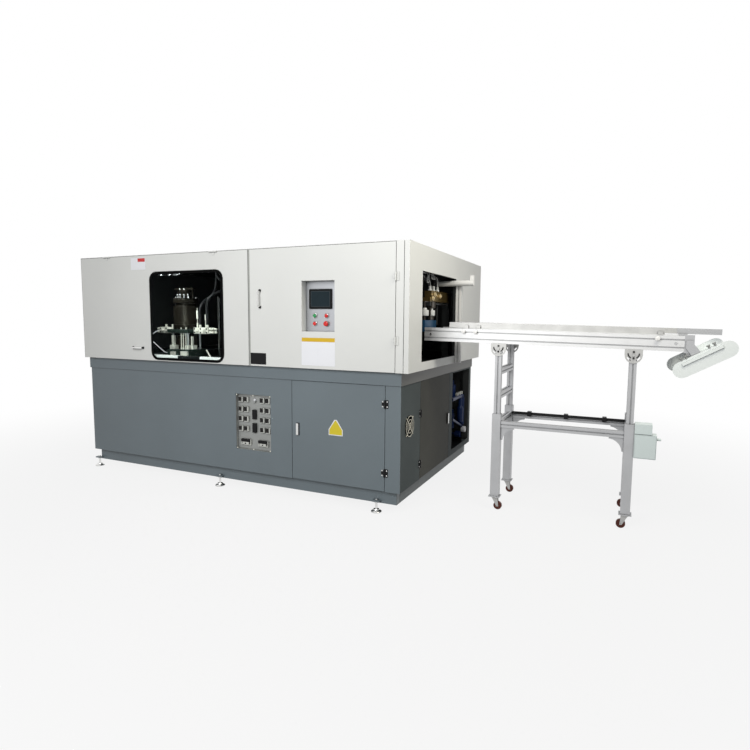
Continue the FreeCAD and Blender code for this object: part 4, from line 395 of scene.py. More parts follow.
def close_mesh(gap):
    """Merge the edited mesh's doubled points, turn its faces outwards and leave edit mode."""
    bpy.ops.mesh.select_all(action="SELECT")
    bpy.ops.mesh.remove_doubles(threshold=gap)
    bpy.ops.mesh.normals_make_consistent(inside=False)
    bpy.ops.object.mode_set(mode="OBJECT")


def soften(piece, width, segments=2):
    """Round the sharp edges."""
    only(piece)
    modifier = piece.modifiers.new("Soft edges", "BEVEL")
    modifier.width, modifier.segments = width, segments
    modifier.limit_method, modifier.angle_limit = "ANGLE", EDGE_ANGLE
    bpy.ops.object.modifier_apply(modifier=modifier.name)
    bpy.ops.object.shade_smooth_by_angle(angle=EDGE_ANGLE)
    return piece


def at(origin, x, y, z):
    """Point measured from the origin."""
    return origin + Vector((x, y, z))


def block(low, high, edge=0.0, segments=2, origin=Vector()):
    """Box between two corners, measured from the origin, with its edges rounded."""
    low, high = at(origin, *low), at(origin, *high)
    deselect()
    bpy.ops.mesh.primitive_cube_add(size=1, location=(low + high) / 2, scale=high - low)
    piece = seat(started("block"))
    return soften(piece, edge, segments) if edge > 0.0 else piece


def turn_to(axis):
    """Turn of the Z axis onto another one."""
    return Vector(UP).rotation_difference(Vector(axis))


def stack(*parts):
    """Steps of a turned piece made of cylinders, each given as (top, radius)."""
    steps, base = [], 0
    for top, radius in parts:
        steps += [(base, radius), (top, radius)]
        base = top
    return steps


def lathe(name, start, axis, steps, sides, edge=0.0):
    """Turned piece: a cylinder extruded and scaled step by step; steps are (height, radius)."""
    deselect()
    height, radius = steps[0]
    bpy.ops.mesh.primitive_circle_add(vertices=sides, radius=radius, location=(0, 0, height),
                                      fill_type="NGON")
    piece = started(name)
    bpy.ops.object.mode_set(mode="EDIT")
    bpy.ops.mesh.select_all(action="SELECT")
    for new_height, new_radius in steps[1:]:
        bpy.ops.mesh.extrude_region_move(TRANSFORM_OT_translate={"value": (0, 0, new_height - height)})
        if new_radius != radius:
            share = new_radius / radius
            bpy.ops.transform.resize(value=(share, share, 1))
        height, radius = new_height, new_radius
    close_mesh(1e-6)
    piece.matrix_world = Matrix.Translation(Vector(start)) @ turn_to(axis).to_matrix().to_4x4()
    seat(piece)
    if edge > 0.0:
        soften(piece, edge)
    else:
        bpy.ops.object.shade_smooth_by_angle(angle=LATHE_ANGLE)
    return piece


def ring(centre, radius, wire):
    """Round wire ring that faces the front."""
    deselect()
    bpy.ops.mesh.primitive_torus_add(location=centre, rotation=turn_to(BACK).to_euler(), major_radius=radius,
                                     minor_radius=wire, major_segments=32, minor_segments=8)
    piece = seat(started("ring"))
    bpy.ops.object.shade_smooth()
    return piece


def rod(points, radius, corner=0.0, sides=12, origin=Vector()):
    """Round rod along straight runs with rounded bends; points are measured from the origin."""
    deselect()
    curve = bpy.data.curves.new("rod", "CURVE")
    curve.dimensions, curve.bevel_depth, curve.use_fill_caps = "3D", radius, True
    curve.bevel_resolution = sides // 4 - 1
    spline = curve.splines.new("POLY")
    line = [at(origin, *point) for point in points]
    path = [line[0]]
    for before, here, after in zip(line, line[1:], line[2:]):
        back, on = (before - here).normalized(), (after - here).normalized()
        reach = min(corner, (before - here).length / 2, (after - here).length / 2)
        for step in range(BEND_STEPS + 1):
            share = step / BEND_STEPS
            first, second = here + back * reach * (1 - share), here + on * reach * share
            path.append(first * (1 - share) + second * share)
    path.append(line[-1])
    spline.points.add(len(path) - 1)
    for knot, point in zip(spline.points, path):
        knot.co = (*point, 1)
    piece = bpy.data.objects.new("rod", curve)
    bpy.context.scene.collection.objects.link(piece)
    only(piece)
    bpy.ops.object.convert(target="MESH")
    piece = started("rod")
    bpy.ops.object.mode_set(mode="EDIT")
    close_mesh(1e-5)
    bpy.ops.object.shade_smooth_by_angle(angle=ROD_ANGLE)
    return piece


def copies(piece, places):
    """Moved copies of the piece in its stead; places are moves from where it stands."""
    made = []
    for move in places:
        copy = piece.copy()
        copy.data = piece.data.copy()
        copy.data.transform(Matrix.Translation(Vector(move)))
        bpy.context.scene.collection.objects.link(copy)
        made.append(copy)
    bpy.data.objects.remove(piece)
    return made


def turned(axis, steps, places, sides, edge=0.0):
    """Copies of one turned piece that start at the places."""
    return copies(lathe("turned", (0, 0, 0), axis, steps, sides, edge), places)


def joined(name, pieces):
    """One piece of all of them, under a name."""
    deselect()
    for piece in pieces:
        piece.select_set(True)
    bpy.context.view_layer.objects.active = pieces[0]
    if len(pieces) > 1:
        bpy.ops.object.join()
    return started(name)


def dress(piece, look, body="machine", slot=None, stands_for=()):
    """Give a finished piece its finish or material and its body, and hide the nodes that it stands for; the
    slot is not used.
    """
    piece.data.materials.clear()
    piece.data.materials.append(finish(look) if isinstance(look, str) else look)
    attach(piece, body)
    if stands_for:
        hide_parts(*stands_for)


def fit(name, pieces, look, *place):
    """Join the pieces under a name and dress them; place is the body, the slot and the nodes."""
    dress(joined(name, pieces), look, *place)


# ---------------------------------------------------------------- measures of the model
def slot_of():
    """Material slot of each node."""
    return {row["node"]: row["material_slot"] for row in frame["record"]["subparts"]}


def table_top():
    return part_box("base_table")[1].z


def roof_sheet():
    """Height just inside the roof sheet, where what hangs from it ends."""
    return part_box("cabinet_panels")[1].z - 0.002


def front_face():
    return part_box("cabinet_panels")[0].y


# ---------------------------------------------------------------- finishes of the nodes
def region(look, x=(-FAR, FAR), y=(-FAR, FAR), z=(-FAR, FAR)):
    """Patch of another finish: a box whose limits are far off where not given."""
    low, high = zip(x, y, z)
    return Vector(low), Vector(high), look


def cabinet_patches():
    """Painted shade on the inner sides of the sheets, chrome grips, and cabinet paint on the hinges and sills
    of the frame, which is otherwise in painted shade.
    """
    low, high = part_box("cabinet_panels")
    within = region("inner_dark", (low.x + SKIN, high.x - SKIN), (low.y + SKIN, high.y - SKIN),
                    (low.z - FAR, high.z - SKIN))
    proud = (-FAR, low.y - 0.0005)
    hinge_line, hinge_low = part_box("right_door")[1].x - 0.05, high.z - 0.1
    grips = region("bright_steel", (-FAR, hinge_line), proud, (-FAR, hinge_low))
    window_left, window_right, sill_depth, sill_top = -1.864, -1.622, 0.08, table_top() + 0.051
    sills = [region("cabinet_paint", span, (-FAR, low.y + sill_depth), (-FAR, sill_top))
             for span in ((-FAR, window_left), (window_right, FAR))]
    return {"cabinet_panels": [within], "cabinet_right": [within], "guard_door": [within, grips],
            "right_door": [grips], "cabinet_frame": [region("cabinet_paint", y=proud)] + sills}


def base_patches():
    """Near-black painted shade on the inner sides of the base's sheets and in the bay, and painted shade on
    its right side.
    """
    low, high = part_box("base_back")
    corner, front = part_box("base_frame")[1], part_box("base_front")[0].y
    under = region("inner_dark", (low.x + SKIN, high.x - SKIN), (front + SKIN, high.y - SKIN))
    skirt_inset, bay_depth, bay_front, bay_low, bay_high = 0.047, 0.3, 1.29, 0.2, 0.935
    # painted shade on the skirt's right end and a painted shadow on the frame's right flank, then near-black
    # painted shade in the bay
    skirt = region("base_side", (corner.x - skirt_inset, FAR), z=(-FAR, low.z + 0.001))
    flank = region("door_side", (corner.x - 0.002, FAR))
    bay = region("inner_dark", (corner.x - bay_depth, corner.x - SKIN), (bay_front, corner.y - 0.003),
                 (bay_low, bay_high))
    return {"base_frame": [skirt, flank, bay],
            "base_back": [under], "base_front": [under], "base_right": [under]}


def unit_patches():
    """Blue grip, near-black painted shade on the column under the golden beam, and the brackets at the
    conveyor's outer legs.
    """
    grip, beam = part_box("take_out_carriage")[0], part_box("take_out_stand")
    grip_tall, beam_deep, outer_brackets = 0.093, 0.088, 1.945
    blue = region("grip_blue", (grip.x, FAR), (grip.y, FAR), (grip.z, grip.z + grip_tall))
    column = region("inner_dark", z=(beam[0].z - 1, beam[1].z - beam_deep))
    outer = region("leg_aluminium", (outer_brackets, FAR))
    return {"take_out_carriage": [blue], "take_out_stand": [column], "conveyor_fittings": [outer]}


class MOULDER_OT_finishes(bpy.types.Operator):
    """Give every node of the model its finish"""
    bl_idname = "moulder.finishes"
    bl_label = "Finishes"

    def execute(self, context):
        for make in (make_mottle, make_grain, make_edges, make_crevices, make_region):
            make()
        patches = {**cabinet_patches(), **base_patches(), **unit_patches()}
        for node, name in slot_of().items():
            if name == "window_pane":
                material = pane_material()
            else:
                material = finish(NODE_FINISH.get(node, name), patches.get(node, ()))
            frame["nodes"][node].material_slots[0].material = material
        return {"FINISHED"}


# ---------------------------------------------------------------- feet and controls
class MOULDER_OT_feet(bpy.types.Operator):
    """Turn the levelling feet with their spindles and lock nuts"""
    bl_idname = "moulder.feet"
    bl_label = "Levelling feet"

    def execute(self, context):
        low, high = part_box("levelling_feet")
        radius, spindle, nut, nut_top = 0.040, 0.009, 0.0145, 0.077
        steps = [(0, radius), (0.005, radius), (0.011, 0.034), (0.016, 0.024), (0.022, 0.021),
                 (0.024, spindle), (nut_top - 0.010, spindle), (nut_top - 0.010, nut), (nut_top, nut),
                 (nut_top, spindle), (high.z, spindle)]
        places = [(x, y, 0) for x in (low.x + radius, (low.x + high.x) / 2, high.x - radius)
                  for y in (low.y + radius, high.y - radius)]
        fit("levelling_feet_turned", turned(UP, steps, places, 36), "bright_steel",
            "machine", "machine_plate", ["levelling_feet"])
        return {"FINISHED"}


STEM = 0.005
CAP = [(0, 0.0108), (0.0012, 0.0136), (0.005, 0.0140), (0.005, STEM)]
HEAD = [(0, 0.010), (0.0008, 0.0145), (0.003, 0.0182), (0.006, 0.0196), (0.010, 0.0197), (0.0125, 0.017),
        (0.016, 0.011), (0.016, STEM)]
# node, name of its turned part, body, finish, steps, sides
BUTTONS = (("button_start", "cap", "start_button", "green_button", CAP, 32),
           ("button_stop", "cap", "stop_button", "red_button", CAP, 32),
           ("button_reset", "cap", "reset_button", "red_button", CAP, 32),
           ("emergency_stop", "head", "stop_mushroom", "red_button", HEAD, 40))


class MOULDER_OT_controls(bpy.types.Operator):
    """Turn the operator panel's buttons, rings and screen glass"""
    bl_idname = "moulder.controls"
    bl_label = "Operator controls"

    def execute(self, context):
        wire, rings = 0.0019, []
        radius, ring_y = context.scene.moulder_sizes.ring - wire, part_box("operator_plate")[0].y - 0.0012
        for node, kind, body, look, steps, sides in BUTTONS:
            low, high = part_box(node)
            x, z = (low.x + high.x) / 2, (low.z + high.z) / 2
            cap = lathe(node + "_" + kind, (x, low.y, z), BACK, steps + [(high.y - low.y, STEM)], sides)
            dress(cap, look, body, slot_of()[node], [node])
            rings.append(ring((x, ring_y, z), radius, wire))
        fit("button_rings", rings, "bright_steel", "operator_door")
        low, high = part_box("touch_screen")
        for name, side, front, back, edge, look in (
                ("screen_border", 0.0150, -0.0002, 0.0008, 0.0002, "screen_frame"),
                ("screen_glass", 0.0205, -0.0006, 0.0014, 0.0003, screen_material())):
            pane = block((low.x + side, low.y + front, low.z + side),
                         (high.x - side, low.y + back, high.z - side), edge, 1)
            fit(name, [pane], look, "operator_door")
        return {"FINISHED"}


# ---------------------------------------------------------------- blow station
STATION = ("machine", "station_steel", ["blow_cylinder"])


def round_corners(piece, radius):
    """Round the four upright edges, then break the sharp ones."""
    only(piece)
    bpy.ops.object.mode_set(mode="EDIT")
    bpy.ops.mesh.select_all(action="DESELECT")
    mesh = bmesh.from_edit_mesh(piece.data)
    for edge in mesh.edges:
        start, end = (vertex.co for vertex in edge.verts)
        edge.select = abs(start.x - end.x) < 1e-6 and abs(start.y - end.y) < 1e-6
    bmesh.update_edit_mesh(piece.data)
    bpy.ops.mesh.bevel(offset=radius, segments=8)
    bpy.ops.object.mode_set(mode="OBJECT")
    return soften(piece, 0.0015)


def station_plates(spot, *plates):
    """Base and head plate with round corners; plates are (name, low, high, half width)."""
    deep, corner = 0.125, 0.060
    for name, low, high, wide in plates:
        plate = round_corners(block((-wide, -deep, low), (wide, deep, high), origin=spot), corner)
        fit(name, [plate], "station_green", *STATION)


def round_the_axis(spot, radius, turns, z):
    """Points on a circle round the station's axis."""
    return [at(spot, radius * math.cos(turn), radius * math.sin(turn), z) for turn in turns]


def station_cylinder(spot, head_top, top, cap_top):
    """Stepped body with its groove, neck, nipples and capscrews."""
    seat_top, groove, half_groove = 0.046, 0.236, 0.014
    body = stack((seat_top, 0.124), (groove - half_groove, 0.118), (groove + half_groove, 0.104),
                 (top - head_top, 0.118))
    neck = stack((0.030, 0.066), (0.062, 0.050), (cap_top - top, 0.058))
    nipple = stack((0.014, 0.009), (0.024, 0.005)) + [(0.024, 0.009), (0.040, 0.007)]
    screw = [(0, 0.009), (0.009, 0.009), (0.012, 0.007)]
    nipples = round_the_axis(spot, 0.083, [math.radians(turn) for turn in (-112, -84, -57, -32)], top)
    screws = round_the_axis(spot, 0.098, [math.pi * (index + 0.5) / 3 for index in range(6)], top)
    screws += round_the_axis(spot, 0.054, [math.pi * index / 3 for index in range(6)], cap_top - 0.001)
    for name, steps, base, sides, edge in (("blow_cylinder_body", body, head_top, 64, 0.002),
                                           ("blow_cylinder_neck", neck, top, 48, 0.0015)):
        fit(name, turned(UP, steps, [at(spot, 0, 0, base)], sides, edge), "station_bronze", *STATION)
    fit("cylinder_nipples", turned(UP, nipple, nipples, 20, 0.0008), "machine_plate")
    fit("station_bolts", turned(UP, screw, screws, 16), "bright_steel", *STATION)


def station_valves(spot, z, left, right):
    """Valve blocks on both sides, with ports, front caps, end fittings, and black discs at the bores as
    painted shade.
    """
    port = stack((0.010, 0.014), (0.018, 0.010), (0.026, 0.013))
    cap, bore = stack((0.008, 0.021), (0.020, 0.012)), stack((0.001, 0.0085))
    end = stack((0.016, 0.014), (0.034, 0.009)) + [(0.034, 0.012), (0.050, 0.010)]
    blocks, ports, caps, ends, bores = [], [], [], [], []
    front, back, tall = spot.y - 0.050, spot.y + 0.050, 0.060
    for side, outer in ((-1, left), (1, right)):
        near, far = sorted((spot.x + side * 0.132, outer))
        middle, quarter = (near + far) / 2, (far - near) / 4
        blocks.append(block((near, front, z), (far, back, z + tall), 0.004))
        ports += [(middle + step * quarter, spot.y, z + tall) for step in (-1, 1)]
        caps += [(middle + step * quarter, front, z + tall / 2) for step in (-1, 1)]
        bores += [(middle + along, front, z + rise)
                  for along in (-0.074, 0.0, 0.074) for rise in (0.012, 0.048)]
        places = [(outer, spot.y + along, z + rise) for along in (-0.022, 0.022) for rise in (0.014, 0.044)]
        ends += turned((side, 0, 0), end, places, 20, 0.0008)
    blocks += turned(UP, port, ports, 20, 0.0008) + turned(FRONT, cap, caps, 24, 0.0008)
    fit("valve_blocks", blocks, "valve_silver", *STATION)
    fit("valve_ends", ends, "valve_silver")
    # black discs at the bores: painted shade in the holes
    fit("valve_bores", turned(FRONT, bore, bores, 16), "plate_black")


def station_pipes(spot, z, top, radius):
    """Black air pipes between the valve blocks, the oven and the roof."""
    oven_top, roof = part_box("oven")[1].z, roof_sheet()
    runs = ([(0.263, 0, z), (0.263, 0, top + 0.01), (0.42, 0.08, top + 0.09), (0.60, 0.24, top + 0.04),
             (0.72, 0.34, oven_top)],
            [(0.20, 0.20, roof), (0.22, 0.20, 1.80), (0.55, 0.30, 1.66), (0.86, 0.40, oven_top)],
            [(0.176, 0, z), (0.176, 0, z + 0.20), (0.20, 0.20, top + 0.06), (0.20, 0.235, roof)])
    fit("station_pipes", [rod(run, radius, 0.09, origin=spot) for run in runs], "black_tube")


def station_fittings(spot, base_top, head_low, head_top):
    """Bright clamp blocks on the base plate, guide pins, silencers, head bolts and a prop."""
    table, clamp_top = table_top(), base_top + 0.040
    pieces = [block(low, high, 0.0015, 1, spot) for low, high in (
        ((-0.106, -0.121, base_top), (-0.046, -0.066, clamp_top)),
        ((-0.086, -0.115, clamp_top), (-0.060, -0.085, base_top + 0.135)),
        ((0.076, -0.108, base_top), (0.118, -0.064, clamp_top)),
        ((0.104, -0.070, base_top), (0.134, -0.004, clamp_top)),
        ((0.107, -0.062, clamp_top), (0.125, -0.038, base_top + 0.125)),
        ((-0.078, -0.147, table), (-0.022, -0.125, base_top - 0.022)),
        ((0.052, -0.147, table), (0.132, -0.120, base_top - 0.016)))]
    row, silencer_low = -0.112, head_top + 0.018
    pin = stack((0.018, 0.008), (head_low - base_top, 0.0042))
    silencer = stack((0.045, 0.008), (0.085, 0.003), (0.165, 0.010), (0.19, 0.003))
    for steps, sides, places in (
            (pin, 16, [(along, row, base_top) for along in (0.036, 0.062, 0.094)]),
            (silencer, 16, [(0.150, -0.01, silencer_low)]),
            (stack((0.070, 0.004), (0.125, 0.008)), 16, [(0.215, 0.03, silencer_low)]),
            (stack((0.018, 0.007)), 14,
             [(along, row, head_top) for along in (-0.085, -0.030, 0.040, 0.100)])):
        pieces += turned(UP, steps, [at(spot, *place) for place in places], sides)
    pieces.append(rod([(0.425, -0.14, table), (0.350, -0.12, table + 0.075)], 0.006, 0, 10, spot))
    fit("station_fittings", pieces, "valve_silver")


def station_thin_pipes(spot, base_top, head_low):
    """White pipes to the left of the station, from the head and from the base plate."""
    high, low, end = head_low + 0.020, base_top - 0.035, head_low - 0.06
    upper = [(-0.300, 0, high), (-0.345, -0.02, high), (-0.400, -0.06, head_low - 0.02),
             (-0.400, -0.06, table_top())]
    lower = [(-0.130, -0.10, low), (-0.17, -0.12, low), (-0.33, -0.16, end), (-0.40, -0.06, end)]
    fit("station_thin_pipes", [rod(upper, 0.005, 0.03, origin=spot), rod(lower, 0.0045, 0.02, origin=spot)],
        "sheet_white")


def station_background(spot):
    """Dim posts behind the station, and a hung bar with clips near the roof."""
    table, wide, hung = table_top(), 0.014, at(spot, 0, -0.10, roof_sheet() - 0.125)
    posts = [block((x, y, table), (x + wide, y + wide, top), 0.001, 1, spot)
             for x, y, top in ((-0.185, 0.20, 1.72), (0.27, 0.14, 1.62), (0.33, 0.22, 1.66))]
    posts.append(block((-0.26, 0, 0), (0.03, 0.012, 0.010), 0.001, 1, hung))
    posts += turned(UP, stack((0.125, 0.003)), [at(hung, x, 0.006, 0) for x in (-0.25, 0.02)], 10)
    fit("station_posts", posts, "roller_steel")
    clips = [block((x, -0.010, -0.004), (x + long, 0, 0.012), 0.001, 1, hung)
             for x, long in ((-0.24, 0.03), (-0.12, 0.02), (-0.05, 0.05))]
    fit("station_clips", clips, "machine_plate")


class MOULDER_OT_station(bpy.types.Operator):
    """Turn the blow station: stepped cylinder, capscrews, valve blocks, ports and pipes"""
    bl_idname = "moulder.station"
    bl_label = "Blow station"

    def execute(self, context):
        low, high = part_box("blow_cylinder")
        spot = Vector(((low.x + high.x) / 2, (low.y + high.y) / 2, 0))
        base_top, head_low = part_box("mould_right")[0].z - 0.0005, high.z - 0.416
        head_top, top = head_low + 0.034, head_low + 0.332
        station_plates(spot, ("station_base", low.z, base_top, 0.135),
                       ("station_head", head_low, head_top, 0.132))
        station_cylinder(spot, head_top, top, high.z)
        station_valves(spot, head_low - 0.008, low.x, high.x)
        station_pipes(spot, head_low + 0.078, top, context.scene.moulder_sizes.hose)
        station_fittings(spot, base_top, head_low, head_top)
        station_background(spot)
        station_thin_pipes(spot, base_top, head_low)
        return {"FINISHED"}


# ---------------------------------------------------------------- sockets
TALL_SHARE, BROAD_SHARE = 1.5, 1.3       # height to width, and width to height, of the tall and broad sockets


def loose_parts(node):
    """Centre and half size of each loose part of the node's mesh."""
    mesh = bmesh.new()
    mesh.from_mesh(node.data)
    bmesh.ops.remove_doubles(mesh, verts=mesh.verts, dist=1e-5)
    left, found = set(mesh.verts), []
    while left:
        seed = left.pop()
        part, queue = [seed], [seed]
        while queue:
            for edge in queue.pop().link_edges:
                for vertex in edge.verts:
                    if vertex in left:
                        left.remove(vertex)
                        part.append(vertex)
                        queue.append(vertex)
        points = [node.matrix_world @ vertex.co for vertex in part]
        low, high = (Vector(limit(point[axis] for point in points) for axis in range(3))
                     for limit in (min, max))
        found.append(((low + high) / 2, (high - low) / 2))
    mesh.free()
    return sorted(found, key=lambda item: (round(item[0].z, 3), item[0].x))


def panel_screws():
    """Round heads at the socket panel's corners and middle."""
    low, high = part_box("socket_panel")
    inset, head = 0.011, [(0, 0.0052), (0.0012, 0.0052), (0.003, 0.003)]
    places = [(x, low.y, z) for x in (low.x + inset, (low.x + high.x) / 2, high.x - inset)
              for z in (low.z + inset, high.z - inset)]
    fit("socket_panel_screws", turned(FRONT, head, places, 14), "valve_silver")


class MOULDER_OT_sockets(bpy.types.Operator):
    """Black inserts in the sockets, with their pin holes, and the signal lamp"""
    bl_idname = "moulder.sockets"
    bl_label = "Sockets"

    def execute(self, context):
        low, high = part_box("sockets")
        back, flange, face, hood = high.y - 0.001, 0.0045, low.y - 0.002, low.y - 0.004
        black, pins, hoods = [], [], []

        def lay(parts, left, right, down, up, front=face, edge=0.001, segments=1):
            parts.append(block((left, front, down), (right, back, up), edge, segments))

        for middle, half in loose_parts(frame["nodes"]["sockets"]):
            x, z, wide, tall = middle.x, middle.z, half.x, half.z
            left, right, down, up = x - wide, x + wide, z - tall, z + tall
            if tall > TALL_SHARE * wide:
                lay(black, left - flange, right + flange, down, up)
            elif wide > BROAD_SHARE * tall:
                lay(black, left, x + wide * 0.9, z, up)
                lay(hoods, x - wide * 0.72, x + wide * 0.62, z - tall * 0.95, z + tall * 0.05, hood, 0.002, 2)
                black += turned(FRONT, stack((0.001, 0.006)), [(x - wide * 0.05, hood, z - tall * 0.45)], 16)
            else:
                lay(black, left - 0.001, right - 0.009, down + 0.006, up - 0.002)
                lay(hoods, right - 0.009, right + 0.002, down + 0.002, up, low.y - 0.003)
                pins += [(x + along, face, z + rise) for along in (-0.012, 0.002) for rise in (-0.006, 0.010)]
        fit("socket_inserts", black, "plate_black")
        fit("socket_hoods", hoods, "socket_plastic")
        fit("socket_pins", turned(FRONT, stack((0.001, 0.0026)), pins, 10), "station_steel")
        panel_screws()
        lamp = stack((0.006, 0.012)) + [(0.006, 0.0095), (0.012, 0.0075), (0.014, 0.004)]
        place = ((low.x + high.x) / 2 + 0.004, back, high.z - 0.022)
        fit("signal_lamp", turned(FRONT, lamp, [place], 24), "sheet_white")
        return {"FINISHED"}


# ---------------------------------------------------------------- take-out unit
GRIPPER = ("take_out_slide_unit", "unit_white", ["take_out_carriage"])


def gripper(low, high):
    """Blue block with two white cups, hung from the runner on the slide rod."""
    front = Vector(((low.x + high.x) / 2, low.y, 0))
    deep, grip_top, runner_low, near, far = high.y - low.y, low.z + 0.090, high.z - 0.050, 0.2005, 0.2905
    blue = block((-0.022, 0.030, low.z), (0.022, deep - 0.010, grip_top), 0.003, origin=front)
    fit("grip_block", [blue], "grip_blue", *GRIPPER)
    cup = [(0, 0.026), (0.004, 0.032), (0.046, 0.033), (0.049, 0.018), (0.064, 0.016), (0.064, 0.008)]
    rows = (0.080, deep / 2 + 0.075)
    cups = turned(UP, cup, [at(front, 0, y, grip_top + 0.034) for y in rows], 32, 0.001)
    fit("gripper_cups", cups, "unit_white", *GRIPPER)
    bars = turned(UP, stack((0.034, 0.006)), [at(front, 0, y, grip_top) for y in rows], 16)
    bars += turned(UP, stack((0.052, 0.004)), [at(front, 0, y, grip_top + 0.098) for y in rows], 16)
    for half, start, down, up, edge in ((0.010, near, grip_top, runner_low, 0.001),
                                        (0.023, near, runner_low, high.z, 0.002),
                                        (0.006, 0.066, grip_top + 0.146, grip_top + 0.150, 0.0)):
        bars.append(block((-half, start, down), (half, far, up), edge, origin=front))
    fit("gripper_frame", bars, "station_steel", *GRIPPER)


def air_fittings(x):
    """White and dark air fittings on the end of the golden beam and on the roof tube over it."""
    low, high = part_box("take_out_stand")
    beam, hung = Vector((x, low.y, high.z)), roof_sheet() - high.z
    elbow = stack((0.012, 0.016), (0.030, 0.011)) + [(0.030, 0.013), (0.040, 0.009)]
    rows, manifold = (0.03, 0.12, 0.22), hung - 0.143
    white, dark = turned(UP, elbow, [at(beam, 0, y, 0) for y in rows], 20, 0.0008), []
    for index, y in enumerate(rows):
        away = y - 0.16 + 0.05 * index
        run = [(0, y, 0.038), (0, y, 0.075 + 0.02 * index), (-0.03, away, 0.13), (-0.03, away, hung)]
        (dark if index == 1 else white).append(rod(run, 0.0055, 0.03, origin=beam))
    for y in (-0.25, -0.13):
        white.append(block((-0.02, y, manifold), (0.02, y + 0.07, hung), 0.004, origin=beam))
        run = [(0, y + 0.035, manifold), (0, y + 0.035, manifold - 0.04), (0, 0.06, 0.03), (0, 0.075, 0)]
        dark.append(rod(run, 0.005, 0.03, origin=beam))
    for index in range(7):
        y, z = -0.24 + 0.055 * index, 0.06 + 0.035 * ((index * 5) % 3)
        run = [(0.012, along, rise) for along, rise in ((y, hung), (y, z), (y + 0.045, z), (y + 0.045, hung))]
        (white if index % 2 else dark).append(rod(run, 0.0045, 0.02, 10, beam))
        white.append(block((0.004, y - 0.009, z + 0.03), (0.022, y + 0.009, z + 0.055), 0.002, 1, beam))
    nut, places = stack((0.010, 0.020), (0.018, 0.012)), ((0.10, -0.03), (0.24, -0.038), (0.05, -0.062))
    nuts = turned(RIGHT, nut, [(high.x, low.y + y, high.z + z) for y, z in places], 20, 0.001)
    fit("beam_nuts", nuts, "brass_bright")
    fit("air_fittings_white", white, "unit_white")
    fit("air_fittings_dark", dark, "black_tube")


class MOULDER_OT_take_out(bpy.types.Operator):
    """Gripper unit in the side opening: runner, hanger, blue block, white cups and the air fittings above"""
    bl_idname = "moulder.take_out"
    bl_label = "Take-out unit"

    def execute(self, context):
        low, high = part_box("take_out_carriage")
        gripper(low, high)
        air_fittings((low.x + high.x) / 2)
        return {"FINISHED"}


# ---------------------------------------------------------------- trim
RAIL_START, RAIL_HEIGHT, RAIL_FALL = 0.200, 1.305, math.radians(1.1)
DECK_TILT = math.radians(30)


def hinge_screws(radius):
    """Two screws in each leaf of the base's hinges."""
    head = [(0, radius * 1.3), (0.0012, radius * 1.3), (0.0030, radius * 0.8)]
    pin, leaf, proud, row = 0.0065, 0.0175, 0.0025, 0.018
    front_x, side_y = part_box("power_door_fittings")[1].x - pin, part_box("side_door_fittings")[0].y + pin
    front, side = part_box("power_door")[0].y - proud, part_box("side_door")[1].x + proud
    for name, axis, body, x, y, levels in (
            ("front", FRONT, "electrical_door", front_x - leaf, front, (0.305, 0.809)),
            ("front", FRONT, "machine", front_x + leaf, front, (0.305, 0.809)),
            ("side", RIGHT, "service_door", side, side_y + leaf, (0.290, 0.690)),
            ("side", RIGHT, "machine", side, side_y - leaf, (0.290, 0.690))):
        places = [(x, y, z + rise) for z in levels for rise in (-row, row)]
        fit(name + "_hinge_screws_" + body, turned(axis, head, places, 14), "bright_steel", body)


def handle_feet():
    """Dark feet under the ends of both chrome handles."""
    openings = {row["name"]: row["box_m"] for row in frame["record"]["physics"]["openings"]}
    foot = [(0, 0.0105), (0.005, 0.0105), (0.009, 0.0085), (0.012, 0.0085)]
    for name, body in (("guard_handle", "guard"), ("door_handle", "operator_door")):
        low, high = (Vector(corner) for corner in openings[name + "_gap"])
        axis, places = 0 if high.x - low.x > high.z - low.z else 2, []
        for end, reach in ((low, -0.018), (high, 0.018)):
            place = (low + high) / 2
            place[axis] = end[axis] + reach
            place.y = front_face()
            places.append(place)
        fit(name + "_feet", turned(FRONT, foot, places, 20, 0.0006), "plate_black", body)


def door_seam():
    """Grey strip down the operator door's free edge, as painted shade of the seam between the doors."""
    low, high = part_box("right_door")
    face, wide, inset = front_face(), 0.014, 0.004
    strip = block((low.x, face - 0.0012, low.z + inset), (low.x + wide, face, high.z - inset), 0.0003, 1)
    fit("door_seam", [strip], "seam_grey", "operator_door")


def skirt_ends():
    """Plates that close the open ends of the skirt's front and back channels."""
    low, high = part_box("base_frame")
    inset, flange, wall, thick = 0.046, 0.050, 0.008, 0.004
    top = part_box("base_front")[0].z - wall
    end = block((high.x - inset - thick, low.y + inset + wall, low.z + wall),
                (high.x - inset - 0.0002, low.y + inset + flange, top), 0.0003, 1)
    across, along = high.y - low.y - 2 * inset - flange - wall, low.x - high.x + 2 * inset + thick
    fit("skirt_ends", copies(end, [(x, y, 0) for x in (0, along) for y in (0, across)]), "base_paint")


